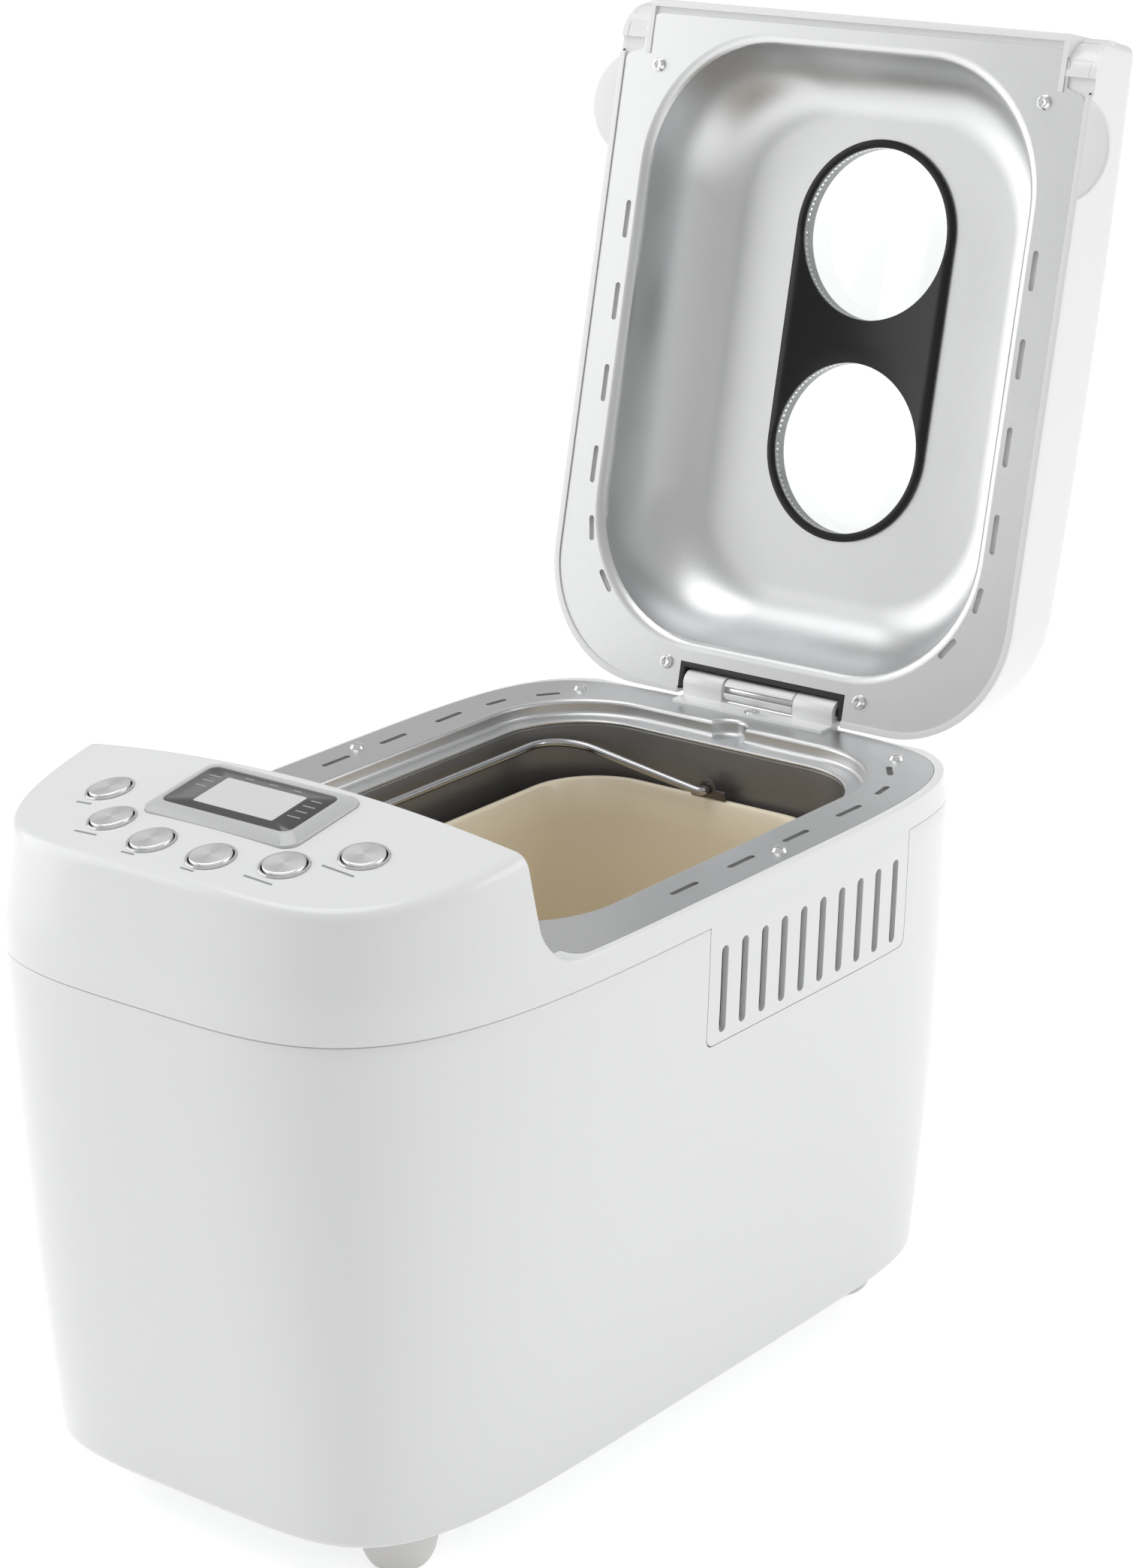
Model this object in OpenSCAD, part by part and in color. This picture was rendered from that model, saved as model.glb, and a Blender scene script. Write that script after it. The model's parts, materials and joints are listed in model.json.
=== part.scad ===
// Bread machine with two kneading paddles, a lift-out pan and a hinged lid with two round windows.
// Millimetres. +X to the right, +Y to the back, +Z up. The origin lies on the worktop under the
// middle of the body. The lid is drawn open, against its stop.

/* [Body] */
// Underside of the base above the worktop
base_z = 21; // [18:0.5:22]
// Room under the oven floor for the belt drive
drive_room = 32; // [31:0.5:34]
// Room under the pan for the couplings
coupling_room = 17; // [16:0.5:19]
// Depth from the steel rim down to the top of the pan
mouth_depth = 28.6; // [27:0.2:32]
// Height of the upper housing's wall, from the seam to the rim
rim_step = 11.6; // [9:0.2:14]
// Height of the panel's highest point above the rim
panel_up = 52.2; // [49:0.2:56]
// Width of the rim at the sides, from the opening to the wall
side_band = 28.5; // [27:0.25:32]
// Width of the rim behind the opening
rear_band = 27; // [26.5:0.25:30]
// Distance from the panel's rear face to the opening
front_band = 24.75; // [22:0.25:30]
// How far each side wall leans in from the seam to the base
side_taper = 17; // [12:0.5:19]
// How far the end walls lean in from the seam to the base
end_taper = 11.25; // [8:0.25:14]
// Rounding between the walls and the underside
base_round = 5; // [3:0.5:7]
// How far the walls belly out halfway up
belly = 1.5; // [0:0.5:3]
// Wall of both plastic housings
wall = 2.6; // [2:0.1:3.2]
// White lip left round the steel rim
rim_lip = 3; // [2:0.5:5]
// Gap between the vent tab and its window in the lower housing
tab_gap = 0.4; // [0.2:0.1:0.8]
// Play of the locating tongue inside the lower housing
tongue_fit = 0.7; // [0.6:0.05:1]
// Depth of the locating tongue
tongue_h = 4; // [2:0.5:5]

/* [Vents] */
// Number of slots in each vent tab
vent_count = 10; // [6:1:12]
// Spacing of the vent slots
vent_pitch = 12.8; // [10:0.2:13]
// Width of a vent slot
vent_w = 4.2; // [3:0.2:6]
// Height of a vent slot
vent_h = 36; // [24:1:40]
// Middle of the row of slots behind the middle of the oven
vent_back = 15.55; // [8:0.25:20]
// Height of the vent tab below the seam
tab_h = 50; // [46:1:60]

/* [Control panel] */
// Depth of the panel from the front of the seam to its rear face
panel_depth = 89.75; // [86:0.25:93]
// How far the panel's sides stand in from the seam
panel_side_in = 8; // [5:0.5:10]
// How far the panel's front stands in from the seam
panel_front_in = 10.25; // [6:0.25:13]
// Forward slope of the panel in degrees
panel_tilt = 9.65; // [6:0.05:12]
// Radius of the panel's sideways crown
crown_r = 800; // [700:10:1200]
// Radius of the sweep from the panel's side down to the rim
notch_r = 19; // [14:0.5:22]
// Width of the swept side walls
wing_w = 4; // [3:0.25:5]

/* [Buttons and display] */
// Diameter of a button cap
button_d = 16.6; // [14:0.2:18]
// Play between a button and its ring
button_fit = 0.3; // [0.2:0.05:0.5]
// Thickness of a button ring
ring_t = 0.7; // [0.5:0.1:1]
// Height of a button cap above the panel
button_up = 1.4; // [0.8:0.1:2]
// Sideways places of the buttons, from the middle outwards
button_x = [14.9, 43.3, 63.9];
// Places of the buttons behind the front of the panel
button_y = [16.5, 24.5, 44.1];
// Width of the display glass
glass_w = 63.4; // [58:0.2:66]
// Depth of the display glass
glass_l = 29.2; // [26:0.2:31]
// Middle of the display in front of the panel's rear face
display_in = 26; // [24:0.5:28]
// Width of the clear picture area
lcd_w = 39.8; // [34:0.2:44]
// Depth of the clear picture area
lcd_l = 19.8; // [16:0.2:22]
// Height of the display frame above the panel
frame_up = 2.6; // [1.5:0.1:4]
// Slope width of the display frame round the glass
frame_slope = 6.5; // [4:0.5:8]

/* [Opening and oven] */
// Room between the pan's rim and the side walls of the oven
oven_side_gap = 12.3; // [10:0.1:14]
// Room between the pan's rim and the end walls of the oven
oven_end_gap = 3.8; // [3.4:0.1:5]
// Ledge between the oven and the collar, at the sides
ledge_side = 7.5; // [6:0.25:9]
// Ledge between the oven and the collar, at the ends
ledge_end = 8; // [6:0.25:9]
// Corner radius of the hole in the steel rim
hole_r = 45; // [38:1:55]
// Sheet thickness of the rim
rim_t = 1.2; // [0.8:0.1:1.6]
// Depth of the collar below the rim
collar_h = 6.6; // [5:0.2:8]
// Corner radius of the oven chamber
oven_r = 38; // [34:1:42]
// Sheet thickness of the oven chamber
oven_t = 0.8; // [0.6:0.1:1]
// Length of a long rim slot
slot_l = 16.5; // [12:0.5:20]
// Width of a rim slot
slot_w = 2.6; // [2:0.1:3.2]
// Spacing of the long rim slots
slot_pitch = 36.1; // [30:0.1:37]
// Diameter of the heating element
element_d = 6.6; // [6:0.1:7]
// Height of the heating element above the oven floor
element_up = 27; // [20:1:40]

/* [Drive] */
// Distance between the two paddle shafts
shaft_pitch = 100; // [96:1:104]
// Diameter of the paddle and drive shafts
shaft_d = 8; // [7:0.2:9]
// Radial running clearance of the shafts
shaft_fit = 0.06; // [0.03:0.01:0.1]
// Diameter of the large pulleys under the belt
pulley_d = 80; // [70:1:84]
// Diameter of the motor pulley under the belt
motor_pulley_d = 20; // [16:1:24]
// Thickness of the belt
belt_t = 2; // [1.5:0.1:2.4]
// Width of the belt
belt_w = 8; // [6:0.5:9]
// Gap between the belt and the pulleys
belt_fit = 0.1; // [0.05:0.05:0.3]
// Motor diameter
motor_d = 56; // [48:1:58]
// Motor height
motor_h = 62; // [50:1:75]
// Middle of the motor behind the front of the base
motor_in = 58.5; // [56:0.5:62]

/* [Pan] */
// Inside width of the pan at its top
pan_w = 137; // [130:1:150]
// Inside length of the pan at its top
pan_l = 211; // [200:1:230]
// Height of the pan
pan_h = 140; // [130:1:150]
// How much narrower the pan is at its bottom
pan_taper = 14; // [8:1:20]
// Corner radius of the pan
pan_r = 30; // [26:1:36]
// Wall of the pan
pan_t = 1.5; // [1.2:0.1:2]
// Width of the rim that stands out round the pan
pan_rim = 2.2; // [1.5:0.1:2.6]
// Diameter of the handle wire
bail_d = 3.6; // [3:0.1:4.2]
// Room between the folded handle and the wall of the oven
bail_gap = 6.5; // [6:0.5:12]
// Angle of the folded handle above the level
bail_rest = 8; // [6:1:14]
// Height of the handle's pivot above the pan
bail_up = 4; // [3.6:0.2:5]
// Sweep radius of a kneading paddle
paddle_r = 42; // [36:1:46]
// Height of a kneading paddle
paddle_h = 24; // [20:1:32]
// Clearance between a paddle and its shaft
paddle_fit = 0.15; // [0.08:0.01:0.3]

/* [Lid] */
// Opening angle of the lid in degrees
lid_open = 104; // [90:1:108]
// Gap between the steel rim and the lid's liner when closed
lid_gap = 2.4; // [2:0.1:3]
// Gap between the closed lid and the panel
lid_front_gap = 2; // [1.5:0.1:3]
// How far the lid stands over the body at each side
lid_over = 0.2; // [0:0.1:2]
// How far the lid's sides lean in towards the top
lid_lean = 10.2; // [8:0.2:12]
// How much higher the lid's sides stand halfway along than at its front
lid_swell = 5.6; // [0:0.2:6.8]
// Corner radius of the lid's rear corners
lid_r = 54; // [46:1:58]
// Wall of the lid's shell
lid_wall = 2.4; // [2:0.1:2.8]
// Length of the rounded-off rear of the lid
lid_round = 66; // [56:1:76]
// White lip left round the lid's liner
lid_lip = 3.4; // [2.5:0.1:5]
// Sheet thickness of the liner
liner_t = 1; // [0.8:0.1:1.2]
// Depth of the liner's dish
dish_h = 39; // [34:0.5:40]
// How far the dish's mouth is wider than the opening, each side
dish_side = 4.5; // [3:0.25:6]
// How far the dish's mouth is longer than the opening, each end
dish_end = 7; // [5:0.25:7.5]
// Corner radius of the dish's mouth
dish_r = 58; // [50:1:60]
// Clear diameter of a window
window_d = 74; // [64:1:76]
// Distance between the two windows
window_pitch = 92.7; // [88:0.1:95]
// Middle of the two windows in front of the middle of the oven
window_in = 8.75; // [5:0.25:12]
// Reach of a grip beyond the side of the lid
grip_out = 11.3; // [8:0.1:14]
// Radius of a grip
grip_r = 23; // [18:0.5:26]
// Middle of a grip behind the front of the lid
grip_back = 45.5; // [40:0.5:60]
// Thickness of a grip
grip_t = 3; // [2:0.2:4]

/* [Hinge] */
// Height of the hinge pin above the rim
pin_up = 5.9; // [5.7:0.1:6.4]
// Hinge pin in front of the rear of the body
pin_in = 1.5; // [1.2:0.05:2]
// Diameter of the hinge pin
pin_d = 5; // [4:0.2:5.6]
// Radial running clearance on the hinge pin
pin_fit = 0.06; // [0.03:0.01:0.1]
// Outside radius of the fixed knuckles
knuckle_r = 5.4; // [4.8:0.1:5.6]
// Width over the two fixed knuckles
knuckle_span = 79; // [72:1:84]
// Width of one fixed knuckle
knuckle_w = 20.5; // [16:0.5:24]
// Side play between the fixed and the moving knuckle
knuckle_gap = 1; // [0.4:0.1:2]
// Thickness of the gasket round the hinge cut-out
gasket_t = 2.5; // [2:0.1:3]

/* [Feet and screws] */
// Top diameter of a foot
foot_d = 31; // [26:1:33]
// Ground diameter of a foot
foot_ground_d = 17; // [14:1:22]
// Feet inside the sides of the base
foot_side_in = 35.5; // [32:0.5:42]
// Front feet behind the front of the base
foot_front_in = 42.5; // [36:0.25:48]
// Rear feet in front of the rear of the base
foot_rear_in = 30.5; // [28:0.25:40]
// Thread diameter of the small screws
screw_d = 3; // [2.4:0.1:3.4]
// Radial clearance of a screw in its hole
screw_fit = 0.1; // [0.05:0.05:0.3]
// Head diameter of the small screws
head_d = 6.6; // [5.5:0.1:7]
// Head height of the small screws
head_h = 1.6; // [1.2:0.1:1.8]
// Radius of the cord inlet's bore
inlet_bore_r = 3.6; // [3:0.1:4.5]
// Height of the cord inlet above the base
inlet_up = 31; // [28:1:40]
// Cord inlet to the left of the middle
inlet_x = 45; // [30:1:55]

/* [Hidden] */
$fn = 64;
outline_n = 64;      // points round a body outline
skin = 0.02;         // thickness of a slice that a loft is stretched over
cut = 1;             // how far a cut runs past a surface
far = 500;           // longer than anything it cuts

// Squareness of the body outline, front and rear
seam_n = [3.8, 6.1];
mid_n = [4.3, 6.9];
base_n = [5, 7.5];
top_n = [4.3, 4.3];

// Widths and lengths, from the pan outwards
pan_rim_w = pan_w + 2 * (pan_t + pan_rim);
pan_rim_l = pan_l + 2 * (pan_t + pan_rim);
oven_w = pan_rim_w + 2 * oven_side_gap;
oven_l = pan_rim_l + 2 * oven_end_gap;
hole_w = oven_w + 2 * ledge_side;
hole_l = oven_l + 2 * ledge_end;
body_w = hole_w + 2 * side_band;
body_l = panel_depth + front_band + hole_l + rear_band;
oven_y = body_l / 2 - rear_band - hole_l / 2;
base_w = body_w - 2 * side_taper;
base_l = body_l - 2 * end_taper;

// Heights, from the base upwards
plate_z = base_z + wall;
plate_t = 2.4;
oven_floor_z = base_z + drive_room;
pan_floor_z = oven_floor_z + coupling_room;
pan_inner_z = pan_floor_z + pan_t;
pan_top_z = pan_floor_z + pan_h;
rim_z = pan_top_z + mouth_depth;
seam_z = rim_z - rim_step;
panel_top_z = rim_z + panel_up;
mid_z = (base_z + base_round + seam_z) / 2;
mid_w = (base_w + body_w) / 2 + 2 * belly;
mid_l = (base_l + body_l) / 2 + 2 * belly;

// The walls lean in from the rim to the panel and are carried on above it at the same lean
panel_back_y = panel_depth - body_l / 2;
panel_front_y = panel_front_in - body_l / 2;
panel_w = body_w - 2 * panel_side_in;
wing_x = panel_w / 2 - wing_w;
panel_side_z = panel_top_z - 8;
form_top_z = panel_top_z + 8;
top_lean = (form_top_z - rim_z) / (panel_side_z - rim_z);
top_w = body_w - 2 * panel_side_in * top_lean;
top_l = body_l - 2 * panel_front_in * top_lean;
deck_z = rim_z - rim_t;
tab_l = (vent_count - 1) * vent_pitch + 19;
tab_z = seam_z - tab_h;
vent_z = tab_z + vent_h / 2 + 4;
vent_y = oven_y + vent_back;
corner_slots = [[hole_w / 2 + 9.7, oven_y + hole_l / 2 - 32.6, 100], [hole_w / 2 - 1.7, oven_y + hole_l / 2 - 10.7, 128]];
slot_x = hole_w / 2 + 13;
slot_y = corner_slots[0][1] - 28.1;
rim_screws = [[hole_w / 2 + 17.8, oven_y + 6.7], [hole_w / 2 - 8.3, oven_y + hole_l / 2 + 3.9]];
flange_front_y = panel_back_y + 1;
flange_corner_y = panel_back_y + notch_r + 1.5;
pocket_r = 9;

// Drive
chassis_t = 1.5;
chassis_z = oven_floor_z - 7;
belt_z = chassis_z - 10;
coupler_r = 12;
coupler_z = oven_floor_z + 1;
dog_h = 6;
dog_w = 5;
pan_coupler_z = pan_floor_z - 5;
front_y = oven_y - shaft_pitch / 2;
rear_y = oven_y + shaft_pitch / 2;
bush_r = shaft_d / 2 + 4;
motor_y = motor_in - base_l / 2;
post_r = 6;
foot_x = base_w / 2 - foot_side_in;
foot_ys = [foot_front_in - base_l / 2, base_l / 2 - foot_rear_in];
frame_posts = [[foot_x - 4, foot_ys[0] + 12], [foot_x - 4, foot_ys[1] - 16]];
chamber_feet = [[oven_w / 2 - 26.5, oven_y - oven_l / 2 + 33], [oven_w / 2 - 26.5, oven_y + oven_l / 2 - 33]];
base_screw_places = [[base_w / 2 - 8, 60], [base_w / 2 - 8, -60]];
base_end_y = base_l / 2 - 8;
socket_w = pan_w - pan_taper - 63;
socket_l = pan_l - pan_taper - 33;
inlet_z = base_z + inlet_up;

// Pan, heating element and paddles
pivot_z = pan_top_z + bail_up;
bail_reach = oven_w / 2 - bail_gap;
paddle_z = pan_inner_z + 9;
element_z = oven_floor_z + element_up;
element_x = (pan_w - pan_taper / 2 + oven_w) / 4 + 1.5;
element_y = (pan_l - pan_taper / 2 + oven_l) / 4 + 1;
element_r = oven_r - 7;
terminal_x = 15;
sensor_x = oven_w / 2 - oven_r - 4;
sensor_z = oven_floor_z + 67;

// Lid, when closed
pin_y = body_l / 2 - pin_in;
pin_z = rim_z + pin_up;
flange_rear_y = pin_y - 5.75;
lid_z = rim_z + lid_gap;
lip_z = lid_z - 0.6;
lid_w = body_w + 2 * lid_over;
lid_top_w = lid_w - 2 * lid_lean;
lid_rear = pin_y + 5.75;
lid_front_y = panel_back_y + lid_front_gap;
lid_notch_y = panel_back_y + notch_r + 6.5;
lid_top_z = panel_top_z;
liner_x = lid_w / 2 - lid_lip;
liner_front_y = lid_front_y + 6;
liner_rear_y = lid_rear - 2.2;
tongue_x = wing_x - 0.5;
ring_z = lid_z + liner_t;
ring_t2 = 2;
dish_w = hole_w + 2 * dish_side;
dish_l = hole_l + 2 * dish_end;
dish_top_z = lid_z + dish_h;
cutout_x = knuckle_span / 2 + 1.5 + gasket_t;
cutout_y = pin_y - knuckle_r - 0.6 - gasket_t;
cutout_z = pin_z + knuckle_r + 3;
relief_r = 8;
lid_screw_places = [[dish_w / 2 + 1.9, oven_y - dish_l / 2 + 12.4], [dish_w / 2 - 45.4, oven_y + dish_l / 2 + 11.75]];
window_y = oven_y - window_in;
window_ys = [window_y - window_pitch / 2, window_y + window_pitch / 2];
window_wall = 2;
grip_x = lid_w / 2 + grip_out;
grip_y = lid_front_y + grip_back;
hinge_screw_y = pin_y - 8.5;

// Display and boards
display_y = panel_back_y - display_in;
plinth_w = glass_w + 3;
plinth_l = glass_l + 3;
display_sink = 1.2;
board_gap = 10;
board_t = 1.6;
board_w = panel_w - 81;
board_l = 54;
board_y = display_y - 11;

// ---- shapes shared by several pieces ----
function power_of(t, n) = sign(t) * pow(abs(t), 2 / n);
function outline(w, l, n_ends) = [for (i = [0:outline_n - 1])
    let (a = 360 * i / outline_n, n = sin(a) < 0 ? n_ends[0] : n_ends[1])
    [w / 2 * power_of(cos(a), n), l / 2 * power_of(sin(a), n)]];
function panel_height(x, y) = panel_top_z + tan(panel_tilt) * (y - panel_back_y)
    - (crown_r - sqrt(crown_r * crown_r - x * x)) / cos(panel_tilt);

module slice(z, w, l, n_ends)
    translate([0, 0, z]) linear_extrude(skin) polygon(outline(w, l, n_ends));
// Rounded rectangle from true arcs
module rounded(w, l, r) {
    square([w - 2 * r, l], center = true);
    square([w, l - 2 * r], center = true);
    for (x = [-1, 1], y = [-1, 1]) translate([x * (w / 2 - r), y * (l / 2 - r)]) circle(r);
}
module rounded_slab(z, h, w, l, r) translate([0, 0, z]) linear_extrude(h) rounded(w, l, r);
// Extrudes a Y-Z profile along X
module along_x(w) rotate([90, 0, 90]) linear_extrude(w, center = true) children();
module both_sides() { children(); mirror([1, 0, 0]) children(); }
module tube(r_out, r_in, h) difference() { cylinder(r = r_out, h = h); translate([0, 0, -cut]) cylinder(r = r_in, h = h + 2 * cut); }
module at_each(places) for (p = places) both_sides() translate([p[0], p[1], 0]) children();
// Places a piece on the crowned panel, with its +Z along the panel's normal
module on_panel(x, y)
    translate([x, y, panel_height(x, y)]) rotate([panel_tilt, 0, 0]) rotate([0, asin(x / crown_r), 0]) children();
// Turns a piece of the closed lid open about the hinge pin
module opened() translate([0, pin_y, pin_z]) rotate([-lid_open, 0, 0]) translate([0, -pin_y, -pin_z]) children();

module lower_form(inset) hull() {
    slice(base_z, base_w - 1.8 * base_round - 2 * inset, base_l - 1.8 * base_round - 2 * inset, base_n);
    slice(base_z + 0.3 * base_round, base_w - 0.6 * base_round - 2 * inset, base_l - 0.6 * base_round - 2 * inset,
          base_n);
    slice(base_z + base_round, base_w - 2 * inset, base_l - 2 * inset, base_n);
    slice(mid_z, mid_w - 2 * inset, mid_l - 2 * inset, mid_n);
    slice(seam_z - skin, body_w - 2 * inset, body_l - 2 * inset, seam_n);
}
module lower_hollow(inset, z) hull() {
    slice(z, base_w - 2 * inset, base_l - 2 * inset, base_n);
    slice(mid_z, mid_w - 2 * inset, mid_l - 2 * inset, mid_n);
    slice(seam_z + cut, body_w - 2 * inset, body_l - 2 * inset, seam_n);
}
module upper_form(inset, z) hull() {
    slice(z, body_w - 2 * inset, body_l - 2 * inset, seam_n);
    slice(rim_z + 1.5, body_w - 0.4 - 2 * inset, body_l - 2 - 2 * inset, seam_n);
    slice(form_top_z, top_w - 2 * inset, top_l - 2 * inset, top_n);
}
module crown_form(drop)
    translate([0, panel_back_y, panel_top_z - drop]) rotate([panel_tilt, 0, 0]) translate([0, 0, -crown_r])
        rotate([90, 0, 0]) cylinder(r = crown_r, h = 2 * far, center = true, $fn = 720);
// The vent tab seen from the side; grow widens it all round
module tab_profile(grow) {
    y0 = vent_y - tab_l / 2;
    polygon([[y0 - grow, seam_z + cut], [y0 - grow, tab_z + 4 - grow], [y0 + 4 - grow / 2, tab_z - grow],
             [y0 + tab_l - 4 + grow / 2, tab_z - grow], [y0 + tab_l + grow, tab_z + 4 - grow],
             [y0 + tab_l + grow, seam_z + cut]]);
}

// ---- housings ----
module lower_housing() color("white") {
    difference() {
        lower_form(0);
        lower_hollow(wall, plate_z);
        translate([0, 0, base_z - cut]) linear_extrude(wall + 2 * cut) {
            polygon(outline(base_w - 2 * wall - 20, base_l - 2 * wall - 20, base_n));
            for (y = foot_ys, x = [-foot_x, foot_x]) translate([x, y]) circle(foot_d / 2 + 0.5);
        }
        both_sides() translate([body_w / 2, 0, 0]) along_x(40) tab_profile(tab_gap);
        at_each(base_screw_places) cylinder(r = screw_d / 2 + screw_fit, h = plate_z + cut);
        for (y = [-base_end_y, base_end_y]) translate([0, y, 0]) cylinder(r = screw_d / 2 + screw_fit, h = plate_z + cut);
        translate([-inlet_x, base_l / 2 - 12, inlet_z]) rotate([-90, 0, 0]) cylinder(r = inlet_bore_r + 4, h = 30);
        translate([-inlet_x, base_l / 2 - 1, inlet_z]) rotate([-90, 0, 0]) cylinder(r = inlet_bore_r + 7.7, h = 30);
    }
    difference() {
        translate([-inlet_x, base_l / 2 - 6, inlet_z]) rotate([-90, 0, 0]) cylinder(r = inlet_bore_r + 10, h = 5);
        translate([-inlet_x, base_l / 2 - 12, inlet_z]) rotate([-90, 0, 0]) cylinder(r = inlet_bore_r + 4, h = 30);
    }
}

// Side view of the upper housing: seam, panel, swept notch and rim
module upper_profile() {
    polygon([[-far, seam_z], [-far, far], [panel_back_y, far], [panel_back_y, rim_z], [far, rim_z], [far, seam_z]]);
    difference() {
        translate([panel_back_y - cut, rim_z - cut]) square(notch_r + cut);
        translate([panel_back_y + notch_r, rim_z + notch_r]) circle(notch_r);
    }
}
module flange_shape(grow) intersection() {
    polygon(outline(body_w - 2 * rim_lip + 2 * grow, 2 * flange_rear_y + 2 * grow, seam_n));
    union() {
        translate([-tongue_x + 1 - grow, flange_front_y - grow]) square([2 * (tongue_x - 1 + grow), far]);
        translate([-far, flange_corner_y - grow]) square([2 * far, far]);
    }
}
module hole_shape(grow) {
    translate([0, oven_y]) rounded(hole_w + 2 * grow, hole_l + 2 * grow, hole_r + grow);
    translate([0, oven_y + hole_l / 2 - 2]) circle(pocket_r + grow);
}
module rim_slots() both_sides() {
    for (i = [0:3]) translate([slot_x, slot_y - i * slot_pitch]) slot(slot_l, 90);
    for (s = corner_slots) translate([s[0], s[1]]) slot(slot_l * 0.67, s[2]);
}
module slot(length, angle) rotate(angle) {
    square([length - slot_w, slot_w], center = true);
    for (s = [-1, 1]) translate([s * (length - slot_w) / 2, 0]) circle(slot_w / 2, $fn = 24);
}
module upper_housing() color("white") difference() {
    union() {
        difference() {
            intersection() {
                upper_form(0, seam_z);
                along_x(far) upper_profile();
                crown_form(0);
            }
            intersection() {
                upper_form(wall, seam_z - cut);
                along_x(far) polygon([[-far, seam_z - cut], [-far, far], [panel_back_y - wall, far],
                                      [panel_back_y - wall, deck_z - wall], [far, deck_z - wall],
                                      [far, seam_z - cut]]);
                crown_form(wall);
            }
            // the sweep is on the side walls only
            translate([-wing_x, panel_back_y, rim_z]) cube([2 * wing_x, notch_r + cut, far]);
            translate([0, 0, deck_z]) linear_extrude(rim_t + cut) flange_shape(0.3);
            translate([0, 0, deck_z - wall - cut]) linear_extrude(far) hole_shape(rim_t + 1.5);
            // relief for the lid's rear edge
            both_sides() translate([cutout_x - 2 * gasket_t, pin_y, pin_z]) rotate([0, 90, 0]) cylinder(r = relief_r, h = 100 - cutout_x);
            on_panel(0, display_y) translate([0, 0, -display_sink]) linear_extrude(far)
                rounded(plinth_w + 2 * frame_slope - 3, plinth_l + 2 * frame_slope - 3, 6);
            on_panel(0, display_y) translate([0, 0, -20]) linear_extrude(far) square([lcd_w + 8, lcd_l + 6], center = true);
        }
        // locating tongue
        difference() {
            lower_hollow_band(wall + tongue_fit);
            lower_hollow_band(wall + tongue_fit + 1.6);
        }
        // vent tabs
        both_sides() intersection() {
            difference() { lower_form(0); lower_hollow(wall, plate_z); }
            translate([body_w / 2, 0, 0]) along_x(40) tab_profile(0);
        }
        // standoffs of the control board
        on_panel(0, display_y) for (x = [-1, 1], y = [board_y - board_l / 2 + 8, board_y + board_l / 2 - 6])
            translate([x * (board_w / 2 - 5), y - display_y, -board_gap]) cylinder(r = 3, h = board_gap - wall - 2.4);
    }
    both_sides() for (i = [0:vent_count - 1])
        translate([body_w / 2, vent_y + (i - (vent_count - 1) / 2) * vent_pitch, vent_z]) rotate([0, 90, 0])
            linear_extrude(60, center = true) vent_slot();
    for (i = [0:2]) both_sides() on_panel(button_x[i], panel_front_y + button_y[i]) translate([0, 0, -12])
        cylinder(r = button_d / 2 + button_fit + ring_t, h = 24);
    at_each(rim_screws) translate([0, 0, deck_z - 12]) cylinder(r = screw_d / 2 + screw_fit, h = 24);
    translate([0, hinge_screw_y, deck_z - 12]) cylinder(r = screw_d / 2 + screw_fit, h = 24);
}
module lower_hollow_band(inset) translate([0, 0, seam_z - tongue_h])
    linear_extrude(tongue_h + 1) polygon(outline(body_w - 2 * inset, body_l - 2 * inset, seam_n));
module vent_slot() {
    square([vent_h - vent_w, vent_w], center = true);
    for (s = [-1, 1]) translate([s * (vent_h - vent_w) / 2, 0]) circle(vent_w / 2, $fn = 24);
}

module base_plate() color("gainsboro") {
    difference() {
        translate([0, 0, plate_z]) linear_extrude(plate_t)
            polygon(outline(base_w - 2 * wall - 1, base_l - 2 * wall - 1, base_n));
        for (x = [-3:3], y = [front_y, rear_y]) translate([x * 12 - 2, y - 22, plate_z - cut]) cube([4, 44, plate_t + 2 * cut]);
        at_each(base_screw_places) translate([0, 0, plate_z - cut]) cylinder(r = screw_d / 2 + screw_fit, h = 8);
        for (y = [-base_end_y, base_end_y]) translate([0, y, plate_z - cut]) cylinder(r = screw_d / 2 + screw_fit, h = 8);
    }
    at_each(frame_posts) translate([0, 0, plate_z + plate_t]) cylinder(r = post_r, h = chassis_z - plate_z - plate_t);
}
module feet() color("whitesmoke") for (x = [-foot_x, foot_x], y = foot_ys) translate([x, y, 0])
    rotate_extrude() polygon(concat([[0, 0]], [for (a = [0:15:90])
        [foot_ground_d / 2 + (foot_d - foot_ground_d) / 2 * sin(a), (base_z - 4) * (1 - cos(a))]],
        [[foot_d / 2, plate_z], [0, plate_z]]));
module screw(length) {
    translate([0, 0, -length]) cylinder(r = screw_d / 2, h = length);
    difference() {
        cylinder(r1 = head_d / 2, r2 = head_d / 2 - 0.9, h = head_h);
        for (a = [0, 90]) rotate(a) translate([-head_d / 4, -0.4, head_h - 0.8]) cube([head_d / 2, 0.8, cut]);
    }
}
module base_screws() color("silver") {
    at_each(base_screw_places) translate([0, 0, base_z]) rotate([180, 0, 0]) screw(wall + plate_t + 3);
    for (y = [-base_end_y, base_end_y]) translate([0, y, base_z]) rotate([180, 0, 0]) screw(wall + plate_t + 3);
}

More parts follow.
